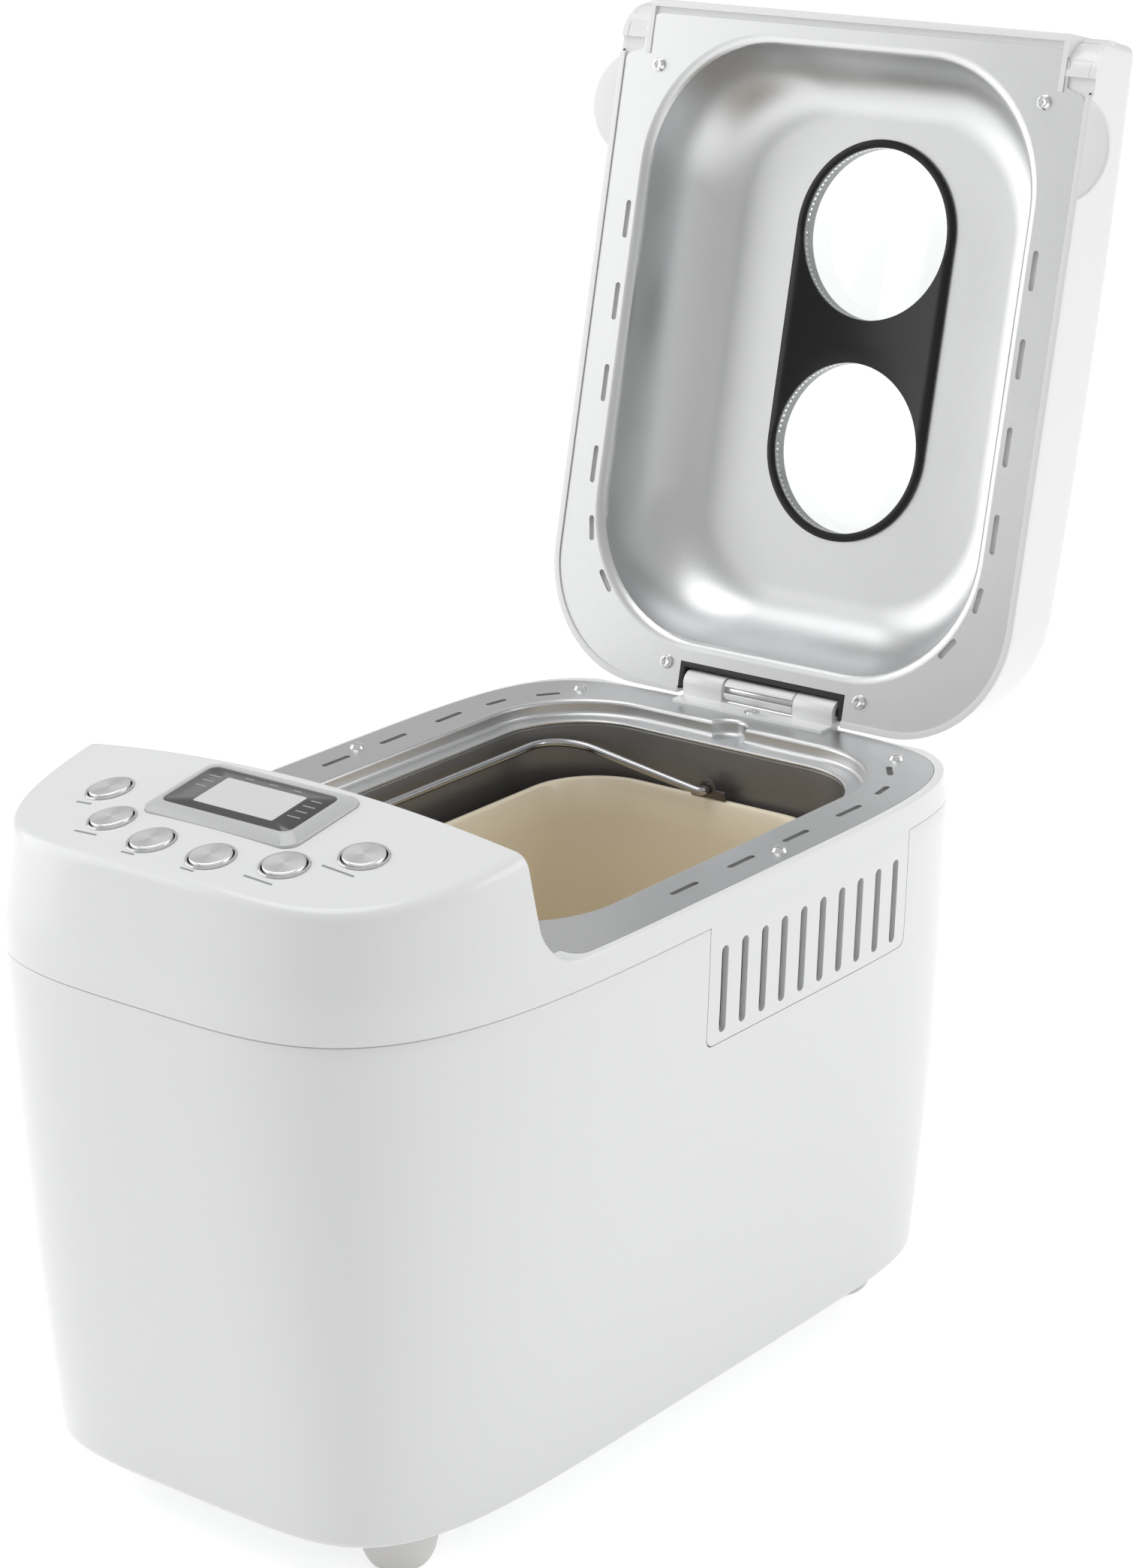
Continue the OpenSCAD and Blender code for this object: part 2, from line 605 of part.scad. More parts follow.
// ---- steel rim and oven ----
module top_flange() color("silver") {
    difference() {
        translate([0, 0, deck_z]) linear_extrude(rim_t) difference() {
            flange_shape(0);
            hole_shape(0);
            rim_slots();
            at_each(rim_screws) circle(screw_d / 2 + screw_fit);
        }
        translate([0, hinge_screw_y, deck_z - cut]) cylinder(r = screw_d / 2 + screw_fit, h = 4);
    }
    translate([0, 0, rim_z - collar_h - rim_t]) linear_extrude(collar_h) difference() {
        hole_shape(rim_t);
        hole_shape(0);
    }
    translate([0, 0, rim_z - collar_h - rim_t]) linear_extrude(rim_t) difference() {
        hole_shape(0.2);
        translate([0, oven_y]) rounded(oven_w, oven_l, oven_r);
    }
}
module flange_screws() color("silver") at_each(rim_screws) translate([0, 0, rim_z]) screw(10);
module oven_chamber() color("dimgray") {
    ledge_z = rim_z - collar_h - rim_t;
    difference() {
        union() {
            rounded_slab_at(oven_floor_z - oven_t, ledge_z - oven_floor_z + oven_t, 2 * oven_t);
            rounded_slab_at(ledge_z - oven_t, oven_t, 10);
        }
        rounded_slab_at(oven_floor_z, far, 0);
        for (y = [front_y, rear_y]) translate([0, y, oven_floor_z - 5]) cylinder(r = coupler_r + 1, h = 10);
        for (x = [-1, 1]) translate([x * terminal_x, oven_y - oven_l / 2 - 10, element_z]) rotate([-90, 0, 0]) cylinder(r = element_d / 2 + 0.5, h = 20);
        translate([sensor_x, oven_y + oven_l / 2 - 5, sensor_z]) rotate([-90, 0, 0]) cylinder(r = 2.2, h = 20);
        at_each(chamber_feet) translate([0, 0, oven_floor_z - 5]) cylinder(r = screw_d / 2 + screw_fit, h = 10);
    }
}
module rounded_slab_at(z, h, grow) translate([0, oven_y, 0]) rounded_slab(z, h, oven_w + grow, oven_l + grow, oven_r + grow / 2);
module chamber_posts() color("silver") at_each(chamber_feet)
    translate([0, 0, chassis_z + chassis_t]) cylinder(r = 5, h = oven_floor_z - oven_t - chassis_z - chassis_t);
module heat_shield() color("silver") translate([0, oven_y - oven_l / 2 - 9, chassis_z + chassis_t])
    difference() {
        translate([-oven_w / 2 - 7.5, 0, 0]) cube([oven_w + 15, 1, seam_z - 8 - chassis_z]);
        for (x = [-terminal_x, terminal_x]) translate([x, -cut, element_z - chassis_z - chassis_t]) rotate([-90, 0, 0]) cylinder(r = element_d / 2 + 1, h = 4);
    }
module heating_element() color("gray") translate([0, oven_y, element_z]) {
    run_x = element_x - element_r;
    run_y = element_y - element_r;
    both_sides() {
        translate([element_x, 0, 0]) rotate([90, 0, 0]) cylinder(d = element_d, h = 2 * run_y, center = true);
        translate([run_x, -element_y, 0]) rotate([0, -90, 0]) cylinder(d = element_d, h = run_x - terminal_x);
        for (y = [0, 1]) mirror([0, y, 0]) translate([run_x, run_y, 0])
            rotate_extrude(angle = 90) translate([element_r, 0]) circle(d = element_d, $fn = 32);
        translate([terminal_x, -element_y, 0]) sphere(d = element_d);
        translate([terminal_x, -element_y, 0]) rotate([90, 0, 0]) cylinder(d = element_d, h = 22);
    }
    translate([0, element_y, 0]) rotate([0, 90, 0]) cylinder(d = element_d, h = 2 * run_x, center = true);
}
module heater_clips() color("silver") both_sides() for (y = [-45, 45])
    translate([element_x + element_d / 2, oven_y + y - 5, element_z]) {
        translate([0, 0, -6]) cube([0.8, 10, 12]);
        translate([0, 0, 5.2]) cube([oven_w / 2 - element_x - element_d / 2, 10, 0.8]);
    }
module temperature_sensor() color("silver") translate([sensor_x, oven_y + oven_l / 2, sensor_z]) {
    translate([0, -5, 0]) rotate([-90, 0, 0]) cylinder(r = 2, h = 14);
    translate([0, oven_t, 0]) rotate([-90, 0, 0]) cylinder(r = 5, h = 3);
}

// ---- chassis and drive ----
module chassis_frame() color("lightgray") difference() {
    translate([-foot_x - 10, foot_ys[0] - 6, chassis_z]) cube([2 * foot_x + 20, foot_ys[1] - foot_ys[0] - 1, chassis_t]);
    for (y = [front_y, rear_y]) translate([0, y, chassis_z - cut]) cylinder(r = bush_r, h = 4);
    translate([0, motor_y, chassis_z - cut]) cylinder(r = 9, h = 4);
    both_sides() translate([foot_x - 22, oven_y - 42, chassis_z - cut]) cube([20, 84, 4]);
}
module shaft_bushes() color("goldenrod") for (y = [front_y, rear_y]) translate([0, y, 0]) {
    translate([0, 0, chassis_z]) tube(bush_r, shaft_d / 2 + shaft_fit, chassis_t + 3);
    translate([0, 0, chassis_z - 3]) tube(bush_r + 3, shaft_d / 2 + shaft_fit, 3);
}
module motor() color("lightslategray") translate([0, motor_y, chassis_z + chassis_t]) difference() {
    union() {
        cylinder(d = motor_d, h = motor_h);
        translate([0, 0, motor_h]) cylinder(d = motor_d - 16, h = 5);
        for (x = [-1, 1]) translate([x * (motor_d / 2 + 3) - 6, -7, 0]) cube([12, 14, 2.5]);
    }
    translate([0, 0, -cut]) cylinder(r = 8, h = 12);
}
module motor_shaft() color("silver") translate([0, motor_y, belt_z - 6]) cylinder(r = 3, h = chassis_z + chassis_t + 10 - belt_z);
module pulley(d, bore_r) difference() {
    union() {
        cylinder(d = d, h = belt_w + 1);
        for (z = [-1.5, belt_w + 1]) translate([0, 0, z]) cylinder(d = d + 5, h = 1.5);
    }
    translate([0, 0, -3]) cylinder(r = bore_r, h = belt_w + 8);
    if (d > 50) for (a = [0:60:300]) rotate(a) translate([d / 4 + 3, 0, -3]) cylinder(r = d / 10, h = belt_w + 8);
}
module motor_pulley() color("black") translate([0, motor_y, belt_z - 4.5]) pulley(motor_pulley_d, 3);
module drive_pulley(y) color("black") translate([0, y, belt_z - 4.5]) pulley(pulley_d, shaft_d / 2);
module front_drive_pulley() drive_pulley(front_y);
module rear_drive_pulley() drive_pulley(rear_y);
// Outline of a belt that runs round the motor pulley and both drive pulleys
module belt_outline(grow) {
    r1 = motor_pulley_d / 2 + grow;
    r2 = pulley_d / 2 + grow;
    d = front_y - motor_y;
    lean = asin((r2 - r1) / d);
    translate([0, motor_y]) circle(r1);
    for (y = [front_y, rear_y]) translate([0, y]) circle(r2);
    translate([-r2, front_y]) square([2 * r2, shaft_pitch]);
    polygon([[-r1 * cos(lean), motor_y - r1 * sin(lean)], [r1 * cos(lean), motor_y - r1 * sin(lean)],
             [r2 * cos(lean), front_y - r2 * sin(lean)], [-r2 * cos(lean), front_y - r2 * sin(lean)]]);
}
module drive_belt() color("black") translate([0, 0, belt_z - 4]) linear_extrude(belt_w) difference() {
    belt_outline(belt_fit + belt_t);
    belt_outline(belt_fit);
}
module dogs(angle, h) for (a = [angle, angle + 180]) rotate(a) translate([shaft_d / 2 + 0.5, -dog_w / 2, 0])
    cube([coupler_r - shaft_d / 2 - 1.2, dog_w, h]);
module drive_shaft(y) color("silver") translate([0, y, 0]) {
    translate([0, 0, belt_z - 7]) cylinder(d = shaft_d, h = coupler_z - belt_z + 7);
    translate([0, 0, coupler_z]) cylinder(r = coupler_r, h = 3);
    translate([0, 0, coupler_z + 3]) dogs(0, dog_h);
}
module front_drive_shaft() drive_shaft(front_y);
module rear_drive_shaft() drive_shaft(rear_y);

// ---- electronics and panel ----
module control_board() color("seagreen") on_panel(0, display_y) {
    translate([-board_w / 2, board_y - display_y - board_l / 2, -board_gap - board_t]) cube([board_w, board_l, board_t]);
    for (x = [-30, 0, 34]) translate([x - 4, board_y - display_y + 4, -board_gap - board_t - 4]) cube([8, 12, 4]);
}
module lcd_module() color("darkseagreen") on_panel(0, display_y) translate([-(lcd_w + 6) / 2, -(lcd_l + 4) / 2, -board_gap])
    cube([lcd_w + 6, lcd_l + 4, board_gap + frame_up - 2]);
module power_board() color("darkgreen") translate([motor_d / 2 + 30, motor_y, chassis_z + chassis_t]) {
    translate([0, -28, 0]) cube([2, 56, 70]);
    translate([2, -20, 20]) cube([16, 18, 20]);
    translate([2, 6, 16]) cube([12, 14, 30]);
}
module display_frame() color("white") on_panel(0, display_y) difference() {
    hull() {
        rounded_slab(-display_sink, 0.8 + display_sink, plinth_w + 2 * frame_slope - 3.4, plinth_l + 2 * frame_slope - 3.4, 5.8, $fn = 32);
        rounded_slab(frame_up - skin, skin, plinth_w, plinth_l, 4.5, $fn = 32);
    }
    rounded_slab(frame_up - 1.6, 4, glass_w + 0.2, glass_l + 0.2, 3.6);
    translate([0, 0, -5]) linear_extrude(20) square([lcd_w + 7, lcd_l + 5], center = true);
}
module display_window() color("dimgray") on_panel(0, display_y) rounded_slab(frame_up - 1.6, 1.7, glass_w, glass_l, 3.5);
module button_rings() color("silver") for (i = [0:2]) both_sides() on_panel(button_x[i], panel_front_y + button_y[i]) {
    translate([0, 0, -3]) tube(button_d / 2 + button_fit + ring_t, button_d / 2 + button_fit, 3.1);
    translate([0, 0, 0.1]) tube(button_d / 2 + button_fit + ring_t + 0.4, button_d / 2 + button_fit, 0.5);
}
module button(i, side) color("silver") on_panel(side * button_x[i], panel_front_y + button_y[i]) {
    translate([0, 0, -3.5]) cylinder(d = button_d, h = 3.5 + button_up - 0.5);
    translate([0, 0, button_up - 0.5]) cylinder(d1 = button_d, d2 = button_d - 1.2, h = 0.5);
    translate([0, 0, -5]) cylinder(r = 2, h = 1.5);
}
module menu_button() button(2, -1);
module weight_button() button(1, -1);
module time_down_button() button(0, -1);
module time_up_button() button(0, 1);
module crust_button() button(1, 1);
module start_stop_button() button(2, 1);
module cord_inlet() color("dimgray") translate([-inlet_x, base_l / 2 - 1, inlet_z]) rotate([-90, 0, 0]) {
    tube(inlet_bore_r + 6, inlet_bore_r, 6);
    translate([0, 0, -5]) tube(inlet_bore_r + 3.8, inlet_bore_r, 5);
    translate([0, 0, -8]) tube(inlet_bore_r + 6, inlet_bore_r, 3);
}

// ---- pan ----
module pan_socket() color("silver") both_sides() for (y = [-1, 1])
    translate([socket_w / 2 + 1.7, oven_y + y * (socket_l / 2 - 22) - 8, oven_floor_z]) cube([1.2, 16, 10]);
module pan_loft(grow, z0, z1) translate([0, oven_y, 0]) hull() {
    rounded_slab(z0, skin, pan_w - pan_taper + 2 * grow, pan_l - pan_taper + 2 * grow, pan_r - 4 + grow, $fn = 32);
    rounded_slab(z1 - skin, skin, pan_w + 2 * grow, pan_l + 2 * grow, pan_r + grow, $fn = 32);
}
module bread_pan() color("cornsilk") difference() {
    union() {
        pan_loft(pan_t, pan_floor_z, pan_top_z);
        translate([0, oven_y, 0]) rounded_slab(pan_top_z - 3, 3, pan_rim_w, pan_rim_l, pan_r + pan_t + pan_rim);
    }
    pan_loft(0, pan_inner_z, pan_top_z + skin);
    translate([0, oven_y, 0]) rounded_slab(pan_top_z - skin, cut, pan_w, pan_l, pan_r);
    for (y = [front_y, rear_y]) translate([0, y, pan_floor_z - cut]) cylinder(r = bush_r, h = 5);
}
module pan_base_ring() color("silver") translate([0, oven_y, 0]) difference() {
    rounded_slab(oven_floor_z + 0.3, pan_floor_z - oven_floor_z - 0.3, socket_w + 2.4, socket_l + 2.4, 20);
    rounded_slab(oven_floor_z - cut, 30, socket_w, socket_l, 18.8);
}
module pan_bushes() color("goldenrod") for (y = [front_y, rear_y]) translate([0, y, 0]) {
    translate([0, 0, pan_floor_z]) tube(bush_r, shaft_d / 2 + shaft_fit, pan_t);
    translate([0, 0, pan_inner_z]) tube(bush_r + 2, shaft_d / 2 + shaft_fit, 8);
}
module pan_lugs() color("dimgray") for (s = [-1, 1]) translate([0, oven_y, 0]) scale_y(s) {
    translate([-9, pan_l / 2 + 0.3, pan_top_z]) cube([18, pan_t + pan_rim - 0.6, 1]);
    difference() {
        union() {
            translate([-9, pan_l / 2 + 0.3, pan_top_z + 1]) cube([18, 1.2, bail_up - 1]);
            translate([0, pan_l / 2 + 0.3, pivot_z]) rotate([-90, 0, 0]) cylinder(r = 4.4, h = 1.2);
        }
        translate([0, 0, pivot_z]) rotate([-90, 0, 0]) cylinder(r = bail_d / 2 + 0.2, h = far);
        translate([-20, 0, pan_top_z - 10]) cube([40, far, 10]);
    }
}
module scale_y(s) { if (s > 0) children(); else mirror([0, 1, 0]) children(); }
module pan_handle() color("silver") translate([0, oven_y, pivot_z]) rotate([0, bail_rest, 0]) {
    arm_y = pan_l / 2 - 4.5;
    r = 20;
    for (s = [-1, 1]) scale_y(s) {
        translate([0, arm_y, 0]) rotate([-90, 0, 0]) cylinder(d = bail_d, h = 8);
        translate([0, arm_y, 0]) sphere(d = bail_d);
        translate([0, arm_y, 0]) rotate([0, -90, 0]) cylinder(d = bail_d, h = bail_reach - r);
        translate([-bail_reach + r, arm_y - r, 0]) rotate(90) rotate_extrude(angle = 90) translate([r, 0]) circle(d = bail_d, $fn = 32);
        translate([-bail_reach, -0.01, 0]) rotate([-90, 0, 0]) cylinder(d = bail_d, h = arm_y - r + 0.01);
    }
}
module paddle_shaft(y) color("silver") translate([0, y, 0]) {
    difference() {
        translate([0, 0, pan_coupler_z - 3]) cylinder(d = shaft_d, h = paddle_z + 18 - pan_coupler_z + 3);
        translate([shaft_d / 2 - 1.2, -shaft_d, paddle_z + 2]) cube([shaft_d, 2 * shaft_d, 30]);
    }
    translate([0, 0, pan_coupler_z]) cylinder(r = coupler_r, h = 3);
    translate([0, 0, pan_coupler_z - dog_h]) dogs(90, dog_h);
}
module front_paddle_shaft() paddle_shaft(front_y);
module rear_paddle_shaft() paddle_shaft(rear_y);
module paddle(y, angle) color("dimgray") translate([0, y, paddle_z]) difference() {
    union() {
        cylinder(r1 = 9.5, r2 = 8, h = 21);
        rotate(angle) {
            translate([0, -8.5, 0]) rotate([90, 0, 90]) linear_extrude(paddle_r) polygon([[0, 0.6], [5, 0.6], [4.2, paddle_h], [2.4, paddle_h]]);
            translate([paddle_r - 3, -8.5, 0.6]) cube([3, 8, paddle_h * 0.6]);
        }
    }
    difference() {
        translate([0, 0, -cut]) cylinder(r = shaft_d / 2 + paddle_fit, h = 19.3 + cut);
        translate([shaft_d / 2 - 1.2 + paddle_fit, -shaft_d, 2.2]) cube([shaft_d, 2 * shaft_d, 30]);
    }
}
module front_paddle() paddle(front_y, 35);
module rear_paddle() paddle(rear_y, 150);

// ---- lid, drawn closed and turned open ----
module lid_slab(z, w, front, rear, r) hull() for (x = [-1, 1]) {
    translate([x * (w / 2 - r), rear - r, z]) cylinder(r = r, h = skin, $fn = 48);
    translate([x * (w / 2 - 3), front + 3, z]) cylinder(r = 3, h = skin, $fn = 16);
}
// The crown of the lid: flatter halfway along than at the front, so that its sides swell there
module lid_crown(inset) hull() for (i = [0:10]) {
    y = lid_front_y - cut + i * (lid_rear - lid_front_y + 2 * cut) / 10;
    swell = lid_swell * (1 - pow((y - window_y) / (window_y - lid_front_y), 2)) / pow(lid_top_w / 2, 2);
    translate([0, y, 0]) rotate([90, 0, 0]) linear_extrude(skin, center = true)
        polygon(concat([[lid_w, 0], [-lid_w, 0]],
            [for (x = [-1:0.1:1.01]) [x * lid_w * 0.55, lid_top_z - inset - pow(x * lid_w * 0.55, 2) * (0.5 / crown_r - swell)]]));
}
module lid_form(inset, z) intersection() {
    hull() {
        for (x = [-1, 1]) {
            translate([x * (lid_w / 2 - lid_r), lid_rear - lid_r, z]) cylinder(r = lid_r - inset, h = skin, $fn = 48);
            translate([x * (lid_w / 2 - 4), lid_front_y + 4, z]) cylinder(r = 4 - inset, h = skin, $fn = 24);
            translate([x * (lid_top_w / 2 - lid_r + 6), lid_rear - lid_r - 3, lid_top_z + 6]) cylinder(r = lid_r - 6 - inset, h = skin, $fn = 48);
            translate([x * (lid_top_w / 2 - 4), lid_front_y + 4, lid_top_z + 6]) cylinder(r = 4 - inset, h = skin, $fn = 24);
        }
    }
    lid_crown(inset);
    along_x(far) union() {
        translate([-far, 0]) square([far + lid_rear - lid_round, far]);
        translate([lid_rear - lid_round, lid_z]) scale_ellipse(lid_round - inset, lid_top_z + 1 - lid_z - inset);
        translate([lid_rear - lid_round - cut, 0]) square([lid_round + cut - inset, lid_z + 0.01]);
    }
}
// Quarter of an ellipse as a polygon
module scale_ellipse(a, b) polygon(concat([[0, 0]], [for (t = [0:5:90]) [a * cos(t), b * sin(t)]]));
module liner_shape(grow) {
    r = lid_r - lid_lip + grow;
    w = liner_x + grow;
    rear = liner_rear_y + grow;
    translate([-w, lid_notch_y - grow]) square([2 * w, rear - r - lid_notch_y + grow]);
    translate([-w + r, rear - r - cut]) square([2 * (w - r), r + cut]);
    for (x = [-1, 1]) translate([x * (w - r), rear - r]) circle(r);
    translate([0, (liner_front_y + lid_notch_y) / 2 + 5]) rounded(2 * (tongue_x + grow), lid_notch_y - liner_front_y + 10 + 2 * grow, 8);
}
module lid_cutout(z) translate([-cutout_x, cutout_y, z - 20]) cube([2 * cutout_x, far, cutout_z - z + 20]);
module lid_shell() color("white") opened() difference() {
    union() {
        difference() {
            lid_form(0, lip_z);
            // hollow above the ring that carries the liner
            intersection() { lid_form(lid_wall, lip_z); translate([-far, -far, ring_z + ring_t2]) cube(2 * far); }
            translate([0, 0, lip_z - cut]) linear_extrude(ring_z - lip_z + cut) liner_shape(0.3);
            translate([0, oven_y, 0]) rounded_slab(lip_z, 20, dish_w + 5, dish_l + 5, dish_r + 2.5);
        }
        intersection() {
            lid_form(0.5, lip_z);
            union() {
                at_each(lid_screw_places) translate([0, 0, ring_z]) cylinder(r = 5, h = far);
                // housing of the hinge cut-out
                translate([-cutout_x - lid_wall, cutout_y - lid_wall, ring_z]) cube([2 * (cutout_x + lid_wall), far, cutout_z + lid_wall - ring_z]);
            }
        }
        both_sides() translate([grip_x - grip_r, grip_y, lip_z]) difference() {
            cylinder(r = grip_r, h = grip_t);
            translate([-2 * grip_r + liner_x + 1.5 - grip_x + grip_r, -grip_r, -cut]) cube([2 * grip_r, 2 * grip_r, 10]);
        }
    }
    lid_cutout(lip_z);
    at_each(lid_screw_places) translate([0, 0, lip_z]) cylinder(r = screw_d / 2 + screw_fit, h = 12);
    // the front corners clear the swept side walls
    both_sides() translate([wing_x - 2 + 15, 0, 0]) along_x(30) difference() {
        translate([-far, 0]) square([far + lid_notch_y, rim_z + notch_r]);
        translate([panel_back_y + notch_r, rim_z + notch_r]) circle(notch_r - 2);
        translate([panel_back_y + notch_r, lid_z + 1]) square(far);
    }
    for (y = window_ys) translate([0, y, dish_top_z]) cylinder(r = window_d / 2 + window_wall + 0.1, h = 40);
    translate([0, window_y, lid_top_z - 1.8]) linear_extrude(20) stadium(window_d / 2 + 5);
}
module stadium(r) {
    for (s = [-1, 1]) translate([0, s * window_pitch / 2]) circle(r);
    square([2 * r, window_pitch], center = true);
}
module dish_loft(grow) hull() {
    slopes = [[0, 0], [0.6, 7], [0.9, 17], [1, 27]];
    for (s = slopes) translate([0, oven_y, 0])
        rounded_slab(lid_z + s[0] * (dish_h + grow) + (s[0] > 0 ? 0 : -grow), skin, dish_w - 2 * s[1] + 2 * grow, dish_l - 2 * s[1] + 2 * grow, dish_r - s[1] / 2, $fn = 48);
}
module lid_liner() color("silver") opened() difference() {
    union() {
        translate([0, 0, lid_z]) linear_extrude(liner_t) difference() {
            liner_shape(0);
            rim_slots();
            at_each(lid_screw_places) circle(screw_d / 2 + screw_fit);
        }
        difference() {
            dish_loft(liner_t);
            translate([-far, -far, lid_z - 50]) cube([2 * far, 2 * far, 50]);
        }
    }
    dish_loft(0);
    lid_cutout(lip_z);
    for (y = window_ys) translate([0, y, lid_z]) cylinder(r = window_d / 2 + window_wall + 0.1, h = far);
}
module window_bezel() color("black") opened() translate([0, window_y, dish_top_z - 1.5]) linear_extrude(1.5) difference() {
    stadium(window_d / 2 + 3.5);
    for (s = [-1, 1]) translate([0, s * window_pitch / 2]) circle(window_d / 2);
}
module window_tubes() color("whitesmoke") opened() for (y = window_ys) translate([0, y, dish_top_z])
    tube(window_d / 2 + window_wall, window_d / 2, lid_top_z - 3.6 - dish_top_z);
module window_glass() color("lightblue") opened() for (y = window_ys) translate([0, y, dish_top_z + 1]) cylinder(d = window_d, h = 2);
module outer_window() color("lightblue") opened() translate([0, window_y, 0]) {
    translate([0, 0, lid_top_z - 1.8]) linear_extrude(0.7) stadium(window_d / 2 + 4.8);
    for (s = [-1, 1]) translate([0, s * window_pitch / 2, lid_top_z - 3.5]) cylinder(r = window_d / 2 + window_wall - 0.1, h = 2);
}
module lid_screws() color("silver") opened() at_each(lid_screw_places) translate([0, 0, lid_z]) rotate([180, 0, 0]) screw(10);
module hinge_gasket() color("black") opened() difference() {
    translate([-cutout_x, cutout_y, lid_z]) cube([2 * cutout_x, liner_rear_y - cutout_y - 0.5, cutout_z - lid_z]);
    translate([-cutout_x + gasket_t, cutout_y + gasket_t, lid_z - cut]) cube([2 * (cutout_x - gasket_t), far, cutout_z - lid_z + 2 * cut]);
}
module lid_knuckle() color("white") opened() {
    w = knuckle_span - 2 * knuckle_w - 2 * knuckle_gap;
    translate([-w / 2, pin_y, pin_z]) difference() {
        union() {
            rotate([0, 90, 0]) cylinder(r = knuckle_r - 0.2, h = w);
            translate([0, -knuckle_r + 1.4, 0]) cube([w, 2 * knuckle_r - 2.8, cutout_z - pin_z]);
        }
        translate([-cut, 0, 0]) rotate([0, 90, 0]) cylinder(r = pin_d / 2 + pin_fit, h = w + 2 * cut);
        // the pin shows through the hook's open side
        translate([-cut, -1.4, -far]) cube([w + 2 * cut, 2.8, far]);
    }
}
module hinge_block() color("white") {
    difference() {
        union() {
            translate([-knuckle_span / 2, pin_y - 13.2, rim_z]) cube([knuckle_span, 9.2, 1.4]);
            both_sides() translate([knuckle_span / 2 - knuckle_w, pin_y - knuckle_r, rim_z]) {
                cube([knuckle_w, 2 * knuckle_r, pin_z - rim_z]);
                translate([0, knuckle_r, pin_z - rim_z]) rotate([0, 90, 0]) cylinder(r = knuckle_r, h = knuckle_w);
            }
        }
        translate([-far / 2, pin_y, pin_z]) rotate([0, 90, 0]) cylinder(r = pin_d / 2, h = far);
        translate([0, hinge_screw_y, rim_z - cut]) cylinder(r = head_d / 2 + 0.2, h = 5);
    }
}
module hinge_pin() color("silver") translate([-knuckle_span / 2, pin_y, pin_z]) rotate([0, 90, 0]) cylinder(d = pin_d, h = knuckle_span);
module hinge_screws() color("silver") translate([0, hinge_screw_y, rim_z]) screw(10);

lower_housing();
upper_housing();
base_plate();
feet();
base_screws();
top_flange();
flange_screws();
oven_chamber();
heat_shield();
chamber_posts();
heating_element();
heater_clips();
temperature_sensor();
chassis_frame();
shaft_bushes();
motor();
motor_shaft();
motor_pulley();
drive_belt();
front_drive_shaft();
rear_drive_shaft();
front_drive_pulley();
rear_drive_pulley();
control_board();
lcd_module();
power_board();
display_frame();
display_window();
button_rings();
menu_button();
weight_button();
time_down_button();
time_up_button();
crust_button();
start_stop_button();
cord_inlet();
pan_socket();
bread_pan();
pan_base_ring();
pan_lugs();
pan_bushes();
pan_handle();
front_paddle_shaft();
rear_paddle_shaft();
front_paddle();
rear_paddle();
lid_shell();
lid_liner();
window_bezel();
window_tubes();
window_glass();
outer_window();
lid_screws();
hinge_gasket();
lid_knuckle();
hinge_block();
hinge_pin();
hinge_screws();
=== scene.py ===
import json
import math

import bmesh
import bpy
from mathutils import Matrix, Vector

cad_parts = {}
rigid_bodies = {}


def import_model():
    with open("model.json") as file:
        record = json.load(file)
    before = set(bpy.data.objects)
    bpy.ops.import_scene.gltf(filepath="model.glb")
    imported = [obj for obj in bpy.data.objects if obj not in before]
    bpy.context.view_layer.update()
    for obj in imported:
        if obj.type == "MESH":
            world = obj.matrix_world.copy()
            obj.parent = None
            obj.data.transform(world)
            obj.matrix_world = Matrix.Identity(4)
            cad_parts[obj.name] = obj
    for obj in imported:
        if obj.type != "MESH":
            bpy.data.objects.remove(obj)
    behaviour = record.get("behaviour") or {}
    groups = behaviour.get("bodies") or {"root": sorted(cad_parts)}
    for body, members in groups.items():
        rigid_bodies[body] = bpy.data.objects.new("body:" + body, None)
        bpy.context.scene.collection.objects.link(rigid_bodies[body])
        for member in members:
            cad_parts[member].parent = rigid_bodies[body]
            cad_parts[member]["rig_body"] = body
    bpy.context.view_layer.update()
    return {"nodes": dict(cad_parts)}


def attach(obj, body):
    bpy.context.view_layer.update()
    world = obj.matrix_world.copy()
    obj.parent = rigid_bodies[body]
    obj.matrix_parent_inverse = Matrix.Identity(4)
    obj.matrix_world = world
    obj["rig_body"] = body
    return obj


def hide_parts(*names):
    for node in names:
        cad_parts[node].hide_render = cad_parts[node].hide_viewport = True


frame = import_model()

# ---------------------------------------------------------------------------
# Camera
# The machine is looked at from the front right, a little from above, and from
# far enough away that its upright lines stay nearly upright.
# ---------------------------------------------------------------------------
camera_place = Vector((0.94808, -1.10161, 0.75631))
camera_aim = Vector((0.00386, 0.05035, 0.24487))
camera_roll = math.radians(-1.32)
camera_data = bpy.data.cameras.new("camera")
camera_data.lens = 89.6
camera_data.sensor_width = 36.0
camera_data.clip_end = 60.0
camera = bpy.data.objects.new("camera", camera_data)
bpy.context.scene.collection.objects.link(camera)
camera.location = camera_place
camera_turn = (camera_aim - camera_place).to_track_quat("-Z", "Y").to_matrix()
camera.rotation_euler = (camera_turn @ Matrix.Rotation(camera_roll, 3, "Z")).to_euler()
bpy.context.scene.camera = camera

# ---------------------------------------------------------------------------
# Worktop and studio light
# A pale sheet that shows white to the lens and to mirrors but is lit as a plain
# surface, so the shadow stays, and three large soft lamps from left, right and top.
# ---------------------------------------------------------------------------
def node_in(tree, kind, inputs=None, **options):
    """Adds a node to a tree. inputs gives a socket its value, or links it to another node's output."""
    node = tree.nodes.new(kind)
    for option, value in options.items():
        setattr(node, option, value)
    for socket, value in (inputs or {}).items():
        if isinstance(value, bpy.types.NodeSocket):
            tree.links.new(value, node.inputs[socket])
        else:
            node.inputs[socket].default_value = value
    return node


